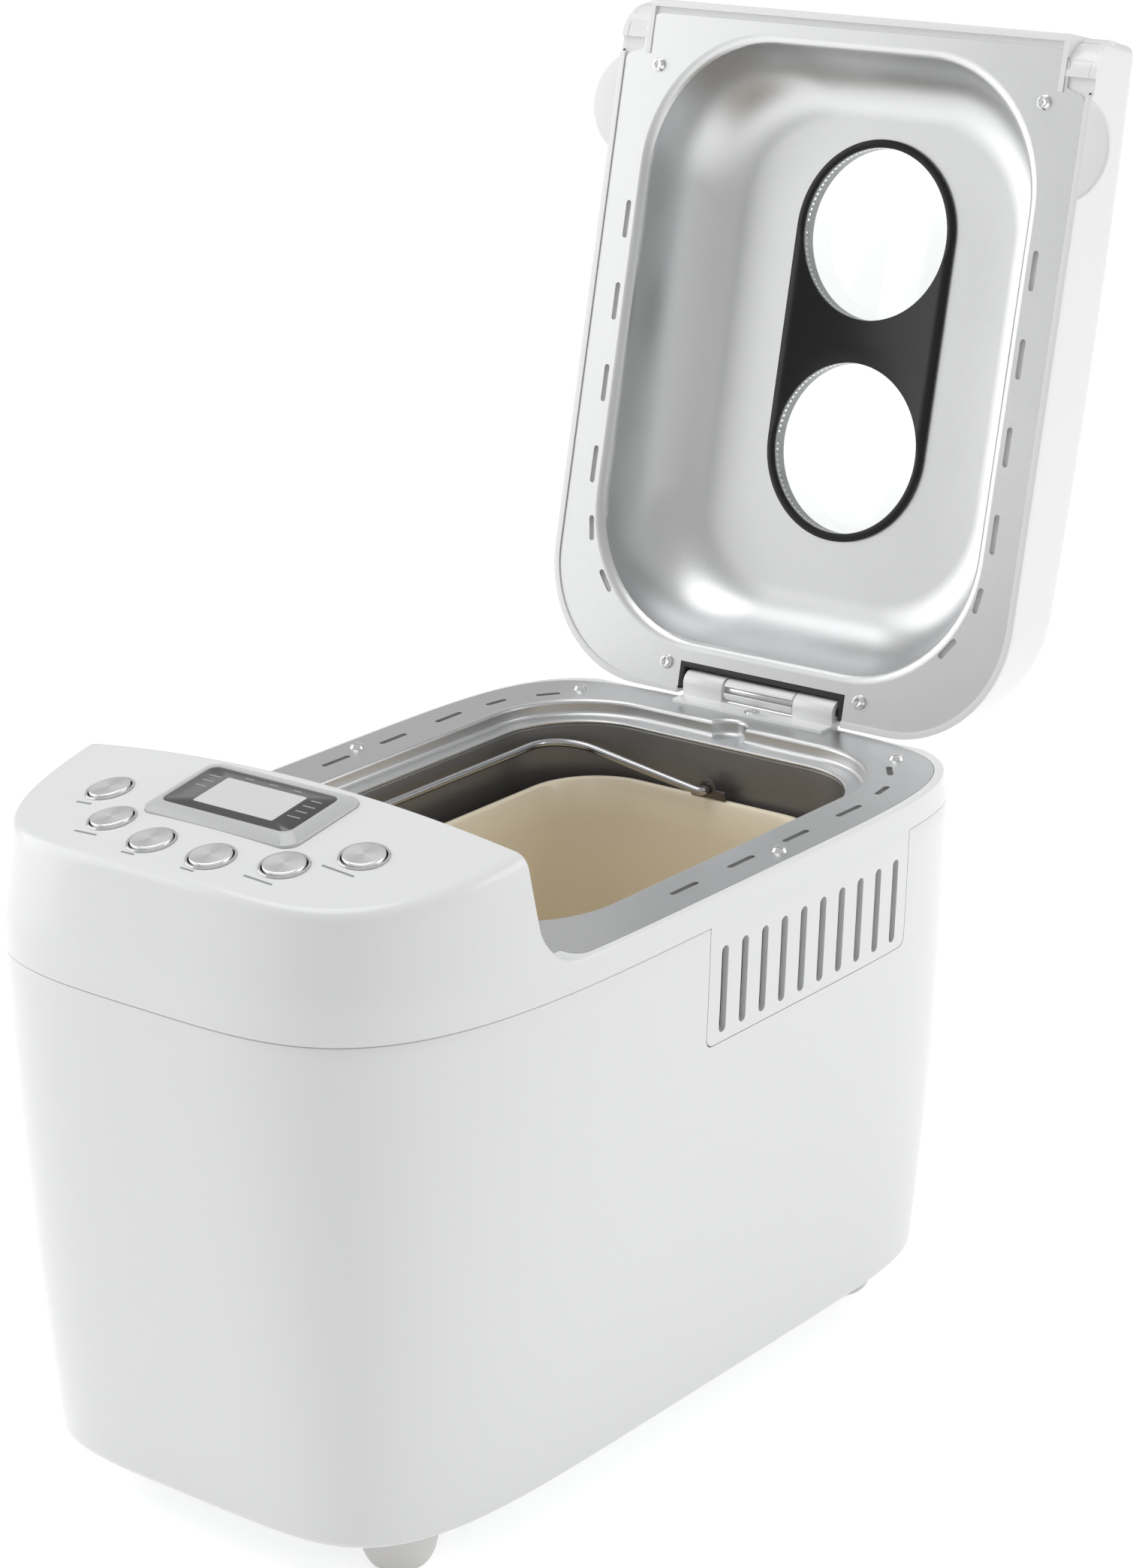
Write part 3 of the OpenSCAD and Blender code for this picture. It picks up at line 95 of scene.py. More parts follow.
white = (1, 1, 1, 1)
floor_tone, floor_glow, room_light = 0.93, 0.52, 0.56
floor_material = bpy.data.materials.new("worktop_white")
floor_material.use_nodes = True
tree = floor_material.node_tree
tree.nodes.clear()
path = node_in(tree, "ShaderNodeLightPath").outputs
# 1 for rays from the lens, from mirrors and through glass
first = node_in(tree, "ShaderNodeMath", {0: path["Is Camera Ray"], 1: path["Is Glossy Ray"]},
                operation="MAXIMUM")
seen = node_in(tree, "ShaderNodeMath", {0: first.outputs[0], 1: path["Is Transmission Ray"]},
               operation="MAXIMUM")
lit = node_in(tree, "ShaderNodeBsdfDiffuse", {"Color": (floor_tone, floor_tone, floor_tone, 1)})
glow = node_in(tree, "ShaderNodeEmission", {"Color": white, "Strength": floor_glow})
both = node_in(tree, "ShaderNodeAddShader", {0: lit.outputs[0], 1: glow.outputs[0]})
mix = node_in(tree, "ShaderNodeMixShader", {0: seen.outputs[0], 1: lit.outputs[0], 2: both.outputs[0]})
node_in(tree, "ShaderNodeOutputMaterial", {"Surface": mix.outputs[0]})
floor_mesh = bmesh.new()
bmesh.ops.create_grid(floor_mesh, x_segments=1, y_segments=1, size=20.0)
floor_data = bpy.data.meshes.new("worktop")
floor_mesh.to_mesh(floor_data)
floor_mesh.free()
floor = bpy.data.objects.new("worktop", floor_data)
floor.data.materials.append(floor_material)
bpy.context.scene.collection.objects.link(floor)

world = bpy.data.worlds.new("studio")
bpy.context.scene.world = world
world.use_nodes = True
tree = world.node_tree
tree.nodes.clear()
room = node_in(tree, "ShaderNodeBackground", {"Color": white, "Strength": room_light})
blank = node_in(tree, "ShaderNodeBackground", {"Color": white, "Strength": 1.0})
path = node_in(tree, "ShaderNodeLightPath").outputs
mix = node_in(tree, "ShaderNodeMixShader", {0: path["Is Camera Ray"], 1: room.outputs[0],
                                            2: blank.outputs[0]})
node_in(tree, "ShaderNodeOutputWorld", {"Surface": mix.outputs[0]})

lamp_list = [("key_lamp", (-2.4, -1.1, 1.0), 2.4, 22.0), ("fill_lamp", (1.8, 1.1, 0.9), 1.4, 12.0),
             ("top_lamp", (-0.5, -0.3, 2.3), 1.8, 15.0)]
for lamp_name, lamp_place, lamp_size, lamp_watts in lamp_list:
    lamp_data = bpy.data.lights.new(lamp_name, "AREA")
    lamp_data.shape = "DISK"
    lamp_data.size = lamp_size
    lamp_data.energy = lamp_watts
    lamp = bpy.data.objects.new(lamp_name, lamp_data)
    lamp.location = lamp_place
    lamp.rotation_euler = (Vector((0, 0, 0.25)) - Vector(lamp_place)).to_track_quat("-Z", "Y").to_euler()
    bpy.context.scene.collection.objects.link(lamp)

# ---------------------------------------------------------------------------
# Shared tools
# The grain that every finish has, and the ways in which outlines, meshes, cuts
# and pieces are made. Meshes are drawn in millimetres.
# ---------------------------------------------------------------------------
def new_group(name, inputs, outputs):
    """An empty shader group with sockets, and the outputs of its input node."""
    group = bpy.data.node_groups.new(name, "ShaderNodeTree")
    for socket, kind, value in inputs:
        made = group.interface.new_socket(name=socket, in_out="INPUT", socket_type="NodeSocket" + kind)
        made.default_value = value
    for socket, kind in outputs:
        group.interface.new_socket(name=socket, in_out="OUTPUT", socket_type="NodeSocket" + kind)
    return group, node_in(group, "NodeGroupInput").outputs


def surface_group():
    """A shared effect: patchy tone, fine speckle and matching roughness and bump."""
    group, given = new_group(
        "surface_grain",
        [("Base", "Color", white)] + [(socket, "Float", 0.0) for socket in (
            "Tone", "Patch Scale", "Grain Scale", "Roughness", "Roughness Spread", "Bump", "Bump Depth")],
        [("Color", "Color"), ("Roughness", "Float"), ("Normal", "Vector")])
    place = node_in(group, "ShaderNodeTexCoord").outputs["Object"]
    patch = node_in(group, "ShaderNodeTexNoise", {"Vector": place, "Scale": given["Patch Scale"],
                                                  "Detail": 3.0})
    grain = node_in(group, "ShaderNodeTexNoise", {"Vector": place, "Scale": given["Grain Scale"],
                                                  "Detail": 2.0})
    both = node_in(group, "ShaderNodeMath", {0: patch.outputs["Fac"], 1: grain.outputs["Fac"]},
                   operation="ADD")
    spread = node_in(group, "ShaderNodeMath", {0: both.outputs[0], 1: 1.0}, operation="SUBTRACT").outputs[0]
    tone = node_in(group, "ShaderNodeMath", {0: spread, 1: given["Tone"], 2: 1.0}, operation="MULTIPLY_ADD")
    tint = node_in(group, "ShaderNodeVectorMath", operation="SCALE")
    group.links.new(given["Base"], tint.inputs[0])
    group.links.new(tone.outputs[0], tint.inputs["Scale"])
    rough = node_in(group, "ShaderNodeMath", {0: spread, 1: given["Roughness Spread"], 2: given["Roughness"]},
                    operation="MULTIPLY_ADD", use_clamp=True)
    bump = node_in(group, "ShaderNodeBump", {"Strength": given["Bump"], "Distance": given["Bump Depth"],
                                             "Height": grain.outputs["Fac"]})
    node_in(group, "NodeGroupOutput", {"Color": tint.outputs[0], "Roughness": rough.outputs[0],
                                       "Normal": bump.outputs["Normal"]})
    return group


surface_grain = surface_group()
mm = 0.001


def surface(name, base, metallic=0.0, settings=None, tone=0.02, patch=20.0, speckle=900.0, rough=0.3,
            spread=0.05, bump=0.05, depth=0.0001):
    """A finish with the shared grain. settings are the shader's own sockets, and depth is in metres."""
    material = bpy.data.materials.new(name)
    material.use_nodes = True
    tree = material.node_tree
    shader = tree.nodes["Principled BSDF"]
    shader.inputs["Metallic"].default_value = metallic
    for socket, value in (settings or {}).items():
        shader.inputs[socket].default_value = value
    effect = node_in(tree, "ShaderNodeGroup", node_tree=surface_grain)
    for socket, value in (("Base", (*base, 1)), ("Tone", tone), ("Patch Scale", patch),
                          ("Grain Scale", speckle), ("Roughness", rough), ("Roughness Spread", spread),
                          ("Bump", bump), ("Bump Depth", depth)):
        effect.inputs[socket].default_value = value
    for given, wanted in (("Color", "Base Color"), ("Roughness", "Roughness"), ("Normal", "Normal")):
        tree.links.new(effect.outputs[given], shader.inputs[wanted])
    return material


def power_of(t, n):
    """One coordinate of a squarish outline: n is 2 for an ellipse and higher for a squarer one."""
    return math.copysign(abs(t) ** (2.0 / n), t)


def evenly(points, count):
    """count points at equal steps along a line of points, ends included."""
    run = [0.0]
    for a, b in zip(points, points[1:]):
        run.append(run[-1] + math.dist(a, b))
    picked, k = [], 0
    for i in range(count):
        want = run[-1] * i / (count - 1)
        while k < len(run) - 2 and run[k + 1] < want:
            k += 1
        t = (want - run[k]) / max(run[k + 1] - run[k], 1e-9)
        picked.append(tuple(p + (q - p) * t for p, q in zip(points[k], points[k + 1])))
    return picked


def wrap(bm, rows, across, place, closed=False):
    """Lays a grid over a surface: place(row, point) gives each of its rows by across points."""
    made = bmesh.ops.create_grid(bm, x_segments=across - 1, y_segments=rows - 1, size=1.0)["verts"]
    for vert in made:
        row = round((vert.co.y + 1) / 2 * (rows - 1))
        point = round((vert.co.x + 1) / 2 * (across - 1))
        vert.co = place(row, point)
    if closed:
        bmesh.ops.remove_doubles(bm, verts=bm.verts, dist=0.001)
    return made


def finished(bm, name, body, material, replaced=(), smooth=35.0, turned=None):
    """Turns a mesh in millimetres into a piece that rides on a body of the machine."""
    if turned is not None:
        bmesh.ops.transform(bm, matrix=turned, verts=bm.verts)
    bmesh.ops.scale(bm, vec=(mm, mm, mm), verts=bm.verts)
    data = bpy.data.meshes.new(name)
    bm.to_mesh(data)
    bm.free()
    return as_piece(data, name, body, material, replaced, smooth)


def as_piece(data, name, body, material, replaced=(), smooth=35.0):
    """Makes a mesh that is already in metres a piece of the machine."""
    data.name = name
    data.shade_smooth()
    data.set_sharp_from_angle(angle=math.radians(smooth))
    data.materials.clear()
    data.materials.append(material)
    piece = bpy.data.objects.new(name, data)
    bpy.context.scene.collection.objects.link(piece)
    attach(piece, body)
    if replaced:
        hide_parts(*replaced)
    return piece


def body_of_mesh(bm):
    """A scratch object, in millimetres, that cuts are made on."""
    data = bpy.data.meshes.new("scratch")
    bm.to_mesh(data)
    bm.free()
    scratch = bpy.data.objects.new("scratch", data)
    bpy.context.scene.collection.objects.link(scratch)
    return scratch


def carve(target, tool, operation="DIFFERENCE"):
    """Cuts one scratch object with another, or joins them, and keeps the result's mesh."""
    cut = target.modifiers.new("cut", "BOOLEAN")
    cut.operation = operation
    cut.solver = "EXACT"
    cut.object = tool
    bpy.context.view_layer.update()
    done = bpy.data.meshes.new_from_object(target.evaluated_get(bpy.context.evaluated_depsgraph_get()))
    target.modifiers.clear()
    target.data = done
    bpy.data.objects.remove(tool)
    return target


def taken(scratch):
    """The mesh of a scratch object, which is then gone, as a new bmesh."""
    bm = bmesh.new()
    bm.from_mesh(scratch.data)
    bpy.data.objects.remove(scratch)
    return bm


# sets an outline drawn in Y and Z upright and its thickness along X
along_x = Matrix(((0, 0, 1, 0), (1, 0, 0, 0), (0, 1, 0, 0), (0, 0, 0, 1)))


def slab(bm, outline, low, high, matrix=None):
    """A flat block with the given outline, a list of (x, y), between two heights."""
    verts = [bm.verts.new((x, y, low)) for x, y in outline]
    face = bm.faces.new(verts)
    raised = bmesh.ops.extrude_face_region(bm, geom=[face])["geom"]
    top = [g for g in raised if isinstance(g, bmesh.types.BMVert)]
    bmesh.ops.translate(bm, vec=(0, 0, high - low), verts=top)
    if matrix is not None:
        bmesh.ops.transform(bm, matrix=matrix, verts=verts + top)
    bmesh.ops.recalc_face_normals(bm, faces=bm.faces)


def quarter(steps, first=0):
    """The angles of a quarter turn, in equal steps."""
    return [math.pi / 2 * i / steps for i in range(first, steps + 1)]


def front_corner(x, y, r, steps):
    """A round corner of an outline, from its front edge to its right edge."""
    return [(x - r + r * math.sin(a), y + r - r * math.cos(a)) for a in quarter(steps)]


def rear_corner(x, y, r, steps):
    """A round corner of an outline, from its right edge to its rear edge."""
    return [(x - r + r * math.cos(a), y - r + r * math.sin(a)) for a in quarter(steps)]


def rounded(w, l, r, cx=0.0, cy=0.0, steps=10):
    """The outline of a rounded rectangle."""
    points = []
    for corner, (sx, sy) in enumerate(((1, 1), (-1, 1), (-1, -1), (1, -1))):
        for step in range(steps + 1):
            turn = math.pi / 2 * (corner + step / steps)
            points.append((cx + sx * (w / 2 - r) + r * math.cos(turn),
                           cy + sy * (l / 2 - r) + r * math.sin(turn)))
    return points


# ---------------------------------------------------------------------------
# Lower housing
# The white moulded tub of the casing. Its walls lean in towards the base and
# belly out a little, and its corners are soft. One part, glossy plastic.
# ---------------------------------------------------------------------------
wall = 2.6
seam_z, base_z, base_round = 227.0, 21.0, 5.0
seam_size, base_size = (241.0, 383.5), (207.0, 361.0)
belly = 1.5
tab_l, tab_h = 134.2, 50.0
vent_count, vent_pitch, vent_h, vent_w, vent_y, vent_z = 10, 12.8, 36.0, 4.2, 59.3, 199.0


def tub_size(z):
    """Half width, half length and squareness of the tub's wall, front and rear, at a height."""
    t = (z - base_z - base_round) / (seam_z - base_z - base_round)
    t = max(0.0, t)
    swell = 4 * belly * t * (1 - t)
    half_w = (base_size[0] + (seam_size[0] - base_size[0]) * t) / 2 + swell
    half_l = (base_size[1] + (seam_size[1] - base_size[1]) * t) / 2 + swell
    low, high = max(0.0, 1 - 2 * t), max(0.0, 2 * t - 1)
    return half_w, half_l, 4.3 + 0.7 * low - 0.5 * high, 6.9 + 0.6 * low - 0.8 * high


def tub_point(turn, z, inset):
    """A point on the tub's wall, drawn in by inset."""
    half_w, half_l, n_front, n_rear = tub_size(z)
    n = n_front if math.sin(turn) < 0 else n_rear
    return Vector(((half_w - inset) * power_of(math.cos(turn), n),
                   (half_l - inset) * power_of(math.sin(turn), n), z))


def tub_shell(top, rounds, soft=0.5):
    """The tub as one closed shell, up to a height."""
    outer_rows = 26
    path = [(top, wall), (top, soft), (top - 0.3 * soft, 0.3 * soft), (top - soft, 0.0)]
    path += [(top - soft - (top - soft - base_z - base_round) * i / outer_rows, 0.0)
             for i in range(1, outer_rows + 1)]
    for i in range(1, rounds + 1):
        a = math.pi / 2 * i / rounds
        path.append((base_z + base_round * (1 - math.sin(a)), base_round * (1 - math.cos(a))))
    path += [(base_z, 12.0), (base_z + wall, 12.0), (base_z + wall, wall)]
    path += [(base_z + wall + (top - base_z - wall) * i / 8, wall) for i in range(1, 9)]
    count = 240
    bm = bmesh.new()
    wrap(bm, len(path), count + 1,
         lambda row, i: tub_point(2 * math.pi * (i % count) / count, *path[row]), closed=True)
    bmesh.ops.recalc_face_normals(bm, faces=bm.faces)
    return bm


def tab_block(grow, deep):
    """The space of the two vent tabs, wider by grow all round."""
    low, half, r = seam_z - tab_h, tab_l / 2 + grow, 4.0
    side = [(vent_y - half, seam_z + 3)]
    side += [(vent_y - half + r - r * math.cos(a), low - grow + r - r * math.sin(a))
             for a in quarter(5)]
    side += front_corner(vent_y + half, low - grow, r, 5)
    side += [(vent_y + half, seam_z + 3)]
    bm = bmesh.new()
    for sign in (-1, 1):
        slab(bm, side, *sorted((sign * (98 - deep), sign * 135)), matrix=along_x)
    return body_of_mesh(bm)


white_plastic = surface("white_plastic", (0.83, 0.835, 0.84),
                        settings={"Coat Weight": 0.35, "Coat Roughness": 0.12, "IOR": 1.5}, tone=0.012,
                        patch=9.0, speckle=1600.0, spread=0.06, bump=0.06, depth=6e-05)
tub = carve(body_of_mesh(tub_shell(seam_z - 0.35, 6)), tab_block(0.4, 0))
finished(taken(tub), "lower_housing_shell", "base", white_plastic, ["lower_housing"])

# ---------------------------------------------------------------------------
# Upper housing
# The white ring on top of the tub, moulded in one with the sloping control
# panel, the swept side walls behind it and the two slotted vent tabs.
# ---------------------------------------------------------------------------
rim_z, rim_t = 238.6, 1.2
panel_back, panel_top, panel_tilt, crown = -102.0, 290.8, math.radians(9.65), 800.0
notch_r, wing_x = 19.0, 108.5
oven_y, hole_w, hole_l, hole_r = 43.75, 184.0, 242.0, 45.0
pocket_r, pocket_in = 9.0, 2.0
paddle_ys = (oven_y - 50, oven_y + 50)
panel_side_z, form_top_z = panel_top - 8, panel_top + 8
pin_y, pin_z = 190.25, 244.5


def crown_drop(x):
    """How much lower the crowned panel lies at x than in the middle."""
    return (crown - math.sqrt(crown * crown - x * x)) / math.cos(panel_tilt)


def panel_z(x, y):
    """Height of the control panel."""
    return panel_top + math.tan(panel_tilt) * (y - panel_back) - crown_drop(x)


def panel_frame(x, y):
    """The matrix that sets a thing on the panel at x and y, its own Z along the panel's normal."""
    return (Matrix.Translation((x, y, panel_z(x, y))) @ Matrix.Rotation(panel_tilt, 4, "X")
            @ Matrix.Rotation(math.asin(x / crown), 4, "Y"))


def casing_size(z):
    """Half width, half length and squareness of the upper housing's wall, front and rear, at a height."""
    step = (form_top_z - rim_z) / (panel_side_z - rim_z)
    low, mid, high = (120.5, 191.75), (120.3, 190.75), (120.5 - 8 * step, 191.75 - 10.25 * step)
    if z < rim_z + 1.5:
        a, b, t = low, mid, (z - seam_z) / (rim_z + 1.5 - seam_z)
    else:
        a, b, t = mid, high, (z - rim_z - 1.5) / (form_top_z - rim_z - 1.5)
    share = max(0.0, min(1.0, (z - seam_z) / (form_top_z - seam_z)))
    return a[0] + (b[0] - a[0]) * t, a[1] + (b[1] - a[1]) * t, 3.8 + 0.5 * share, 6.1 - 1.8 * share


def casing_point(share, z, inset):
    """A point on the wall at a height; share runs from -1 at the front to 1 at the rear."""
    half_w, half_l, n_front, n_rear = casing_size(z)
    n = n_front if share < 0 else n_rear
    x = (half_w - inset) * max(0.0, 1 - min(1.0, abs(share)) ** n) ** (1.0 / n)
    return Vector((x, (half_l - inset) * share, z))


def edge_line(inset):
    """The side view of the housing's top edge behind the panel: (y, z in the middle, share of the crown)."""
    lift = inset / math.cos(panel_tilt)
    back, r = panel_back - inset, 2.5
    low = rim_z if inset == 0 else rim_z - rim_t - inset
    sweep = notch_r if inset == 0 else 1.5
    turn = math.pi / 2 + panel_tilt
    centre = (back - r, panel_z(0, back - r) - lift - r / math.cos(panel_tilt))
    line = [(centre[0] + r * math.cos(turn * (1 - i / 8)), centre[1] + r * math.sin(turn * (1 - i / 8)))
            for i in range(9)]
    top, foot = line[-1][1], low + sweep
    line += [(back + 0.3 * i / 8, top + (foot - top) * i / 8) for i in range(1, 9)]
    line += [(back + 0.3 + sweep * (1 - math.cos(math.pi / 2 * i / 14)),
              foot - sweep * math.sin(math.pi / 2 * i / 14))
             for i in range(1, 15)]
    return [(y, z, max(0.0, min(1.0, (z - foot) / (top - foot)))) for y, z in line]


def ring_solid(columns):
    """A closed solid from the columns of its right half, front to rear, each column a list of points."""
    full = columns + [[Vector((-p.x, p.y, p.z)) for p in column] for column in reversed(columns[1:-1])]
    bm = bmesh.new()
    wrap(bm, len(full[0]), len(full) + 1, lambda row, i: full[i % len(full)][row])
    bmesh.ops.remove_doubles(bm, verts=bm.verts, dist=0.004)
    bmesh.ops.dissolve_degenerate(bm, edges=bm.edges, dist=0.002)
    bmesh.ops.recalc_face_normals(bm, faces=bm.faces)
    return bm


def rounded_top(column, rim, down, inward, middle, height, reach, across=10, power=1.0):
    """Adds to a column the soft edge at rim and the way over the top to the middle."""
    soft_in = rim + inward * reach
    for i in range(7):
        t = i / 6
        column.append((rim + down * reach) * (1 - t) ** 2 + rim * 2 * t * (1 - t) + soft_in * t ** 2)
    for i in range(1, across + 1):
        p = soft_in.lerp(middle, (i / across) ** power)
        column.append(Vector((p.x, p.y, height(p.x, p.y))))


def casing(inset):
    """The upper housing as a closed solid up to its top surface, drawn in by inset."""
    lift = inset / math.cos(panel_tilt)
    line = edge_line(inset)
    low_z = seam_z if inset == 0 else seam_z - 1
    rear_z = rim_z if inset == 0 else rim_z - rim_t - inset

    def rim_at(share, height):
        x = 0.0
        for _ in range(8):
            rim = casing_point(share, height(x, casing_point(share, 260, inset).y), inset)
            rim = casing_point(share, height(rim.x, rim.y), inset)
            x = rim.x
        return rim

    front_height = lambda x, y: panel_z(x, y) - lift
    stations = []
    start = -abs(line[0][0]) / (casing_size(line[0][1])[1] - inset)
    fine = [rim_at(-1 + (start + 1) * (i / 600) ** 2.2, front_height) for i in range(600)]
    fine = evenly([tuple(p) for p in fine], 52)
    for p in fine:
        half_l = casing_size(p[2])[1] - inset
        stations.append((max(-1.0, p[1] / half_l), front_height))
    for y, z, share in line:
        height = (lambda z, share: lambda x, y: z - share * crown_drop(x))(z, share)
        rim_height = height(casing_point(y / (casing_size(z)[1] - inset), z, inset).x, y)
        stations.append((y / (casing_size(rim_height)[1] - inset), height))
    flat = lambda x, y: rear_z
    first = line[-1][0] / (casing_size(rear_z)[1] - inset)
    fine = [tuple(casing_point(first + (1 - first) * (1 - (1 - i / 900) ** 2.6), rear_z, inset))
            for i in range(901)]
    for p in evenly(fine, 92)[1:]:
        stations.append((min(1.0, p[1] / (casing_size(rear_z)[1] - inset)), flat))
    columns = []
    for k, (share, height) in enumerate(stations):
        share = -1.0 if k == 0 else 1.0 if k == len(stations) - 1 else share
        rim = rim_at(share, height)
        down = (casing_point(share, rim.z - 1, inset) - rim).normalized()
        middle = Vector((0, max(-145.0, min(140.0, rim.y)), 0))
        step = Vector((middle.x - rim.x, middle.y - rim.y, 0)).normalized()
        inward = (Vector((rim.x + step.x, rim.y + step.y,
                          height(rim.x + step.x, rim.y + step.y))) - rim).normalized()
        tall = min(1.0, max(0.0, (rim.z - rim_z - 4) / 30))
        reach = (1.8 + 2.6 * tall) if inset == 0 else 0.8
        column = [Vector((0, max(-145.0, min(140.0, rim.y)), low_z))]
        foot = rim.z + down.z * reach
        column += [casing_point(share, low_z + (foot - low_z) * i / 12, inset) for i in range(12)]
        rounded_top(column, rim, down, inward, middle, height, reach)
        columns.append(column)
    return ring_solid(columns)


def superellipse_x(y, half_w, half_l, n_front=3.8, n_rear=6.1):
    """Half width at y of a squarish outline."""
    n = n_front if y < 0 else n_rear
    return half_w * max(0.0, 1 - min(1.0, abs(y) / half_l) ** n) ** (1.0 / n)


def mirrored(half):
    """A closed outline from its right half, given from the front middle to the rear middle."""
    return half + [(-x, y) for x, y in reversed(half) if x > 1e-6]


def rim_outline(grow):
    """The outline of the steel rim, with its narrow front tongue and rounded front corners."""
    half_w, half_l = 117.5 + grow, 184.5 + grow
    corner_y, tongue, front, r = -81.5 - grow, 107.0 + grow, -101.0 - grow, 6.0
    side_x = superellipse_x(corner_y + r, half_w, half_l)
    half = [(0.0, front), (tongue, front), (tongue, corner_y)]
    half += front_corner(side_x, corner_y, r, 8)
    fine = [(superellipse_x(y, half_w, half_l), y)
            for y in [half_l - (half_l - corner_y - r) * (1 - i / 900) ** 2.6 for i in range(901)]]
    return mirrored(half + evenly(fine, 90)[1:])


def opening(half_w, half_l, r, edge_x, tail):
    """The outline of the rim's opening or of the oven; tail is its rear end, from edge_x to the middle."""
    front, rear = oven_y - half_l, oven_y + half_l
    half = [(half_w * 0.35 * i / 3, front) for i in range(4)] + front_corner(half_w, front, r, 14)
    half += [(half_w, front + r + 2 * (half_l - r) * i / 8) for i in range(1, 8)]
    half += rear_corner(half_w, rear, r, 14)
    half += [(half_w - r + (edge_x - half_w + r) * i / 3, rear) for i in (1, 2)] + tail
    half[-1] = (0.0, half[-1][1])
    return mirrored(half)


def hole_outline(grow):
    """The outline of the opening in the rim, with the half-round pocket at its rear."""
    pocket, sunk = pocket_r + grow, pocket_in + grow
    edge_x = math.sqrt(pocket ** 2 - sunk ** 2)
    low = math.atan2(sunk, edge_x)
    tail = [(pocket * math.cos(a), oven_y + hole_l / 2 - pocket_in + pocket * math.sin(a))
            for a in [low + (math.pi / 2 - low) * i / 8 for i in range(9)]]
    return opening(hole_w / 2 + grow, hole_l / 2 + grow, hole_r + grow, edge_x, tail)


def box(bm, low, high):
    """A plain box between two corners."""
    slab(bm, [(low[0], low[1]), (high[0], low[1]), (high[0], high[1]), (low[0], high[1])], low[2], high[2])


def block(low, high):
    """A plain box as a scratch object."""
    bm = bmesh.new()
    box(bm, low, high)
    return body_of_mesh(bm)


def prism(outline, low, high, matrix=None):
    """An upright block with an outline, as a scratch object."""
    bm = bmesh.new()
    slab(bm, outline, low, high, matrix)
    return body_of_mesh(bm)


def circle(r, cx=0.0, cy=0.0, steps=64):
    """The outline of a circle."""
    return [(cx + r * math.cos(2 * math.pi * i / steps), cy + r * math.sin(2 * math.pi * i / steps))
            for i in range(steps)]


def capsule(length, width, cx, cy, angle, steps=8):
    """The outline of a slot with round ends."""
    half, r = (length - width) / 2, width / 2
    c, s = math.cos(math.radians(angle)), math.sin(math.radians(angle))
    points = [(half + r * math.cos(a), r * math.sin(a)) for a in [math.pi * (i / steps - 0.5)
                                                                  for i in range(steps + 1)]]
    points += [(-x, -y) for x, y in points]
    return [(cx + x * c - y * s, cy + x * s + y * c) for x, y in points]


slot_places = [(105.0, -4.2 + 36.1 * i, 90, 16.5) for i in range(4)]
slot_places += [(101.7, 132.15, 100, 11.05), (90.3, 154.05, 128, 11.05)]


def slot_cutter(low, high, grow=0.0):
    """The twelve warm-air slots that the rim and the lid's liner have in common."""
    bm = bmesh.new()
    for x, y, angle, length in slot_places:
        slab(bm, capsule(length + grow, 2.6 + grow, x, y, angle), low, high)
        slab(bm, capsule(length + grow, 2.6 + grow, -x, y, -angle), low, high)
    return body_of_mesh(bm)


button_places = [(-63.9, -137.4), (-43.3, -157.0), (-14.9, -165.0), (14.9, -165.0), (43.3, -157.0),
                 (63.9, -137.4)]
display_y = -128.0
upper = carve(body_of_mesh(casing(0)), body_of_mesh(casing(wall)))
carve(upper, block((-wing_x, panel_back, rim_z), (wing_x, panel_back + notch_r + 1, 320)))
carve(upper, prism(rim_outline(0.25), rim_z - rim_t, 320))
carve(upper, prism(hole_outline(rim_t + 1.5), 220, 300))
carve(upper, slot_cutter(220, 300, 0.8))
cutters = bmesh.new()
for x, y in button_places:
    slab(cutters, circle(9.3), -12, 12, panel_frame(x, y))
slab(cutters, rounded(76.4, 42.2, 6), -1.2, 12, panel_frame(0, display_y))
carve(upper, body_of_mesh(cutters))
carve(upper, prism(rounded(47.8, 25.8, 1), -20, 6, panel_frame(0, display_y)))
for side in (-1, 1):
    turn_x = Matrix.Translation((0, pin_y, pin_z)) @ Matrix.Rotation(math.pi / 2, 4, "Y")
    carve(upper, prism(circle(8.0), *sorted((side * 38.5, side * 99.5)), turn_x))
tabs = carve(body_of_mesh(tub_shell(seam_z, 3, 0.02)), tab_block(0, 0), "INTERSECT")
slots = bmesh.new()
for i in range(vent_count):
    y = vent_y + (i - (vent_count - 1) / 2) * vent_pitch
    slab(slots, [(p[1], p[0]) for p in capsule(vent_h, vent_w, vent_z, y, 0)], -140, 140, along_x)
carve(tabs, body_of_mesh(slots))
whole = taken(upper)
whole.from_mesh(tabs.data)
bpy.data.objects.remove(tabs)
finished(whole, "upper_housing_shell", "base", white_plastic, ["upper_housing"])

# ---------------------------------------------------------------------------
# Steel rim
# The satin steel sheet round the opening. Its inner edge rolls over into a
# short collar, and a narrow ledge runs from there to the oven.
# ---------------------------------------------------------------------------
oven_w, oven_l, oven_r = 169.0, 226.0, 38.0
oven_floor = 53.0


def loft(bm, rings):
    """A closed surface through rings of as many points (x, y, z) each, the last joined to the first."""
    count = len(rings[0])
    made = wrap(bm, len(rings) + 1, count + 1, lambda row, i: Vector(rings[row % len(rings)][i % count]))
    bmesh.ops.remove_doubles(bm, verts=made, dist=0.0005)


def sound_loft(rings):
    """A scratch object lofted through rings, with no flat faces left and its normals outward."""
    bm = bmesh.new()
    loft(bm, rings)
    bmesh.ops.dissolve_degenerate(bm, edges=bm.edges, dist=0.0005)
    bmesh.ops.recalc_face_normals(bm, faces=bm.faces)
    return body_of_mesh(bm)


def shrunk(outline, z, shares):
    """Rings at a height that are shares of an outline, drawn in towards the oven's middle."""
    return [[(p[0] * k, oven_y + (p[1] - oven_y) * k, z) for p in outline] for k in shares]


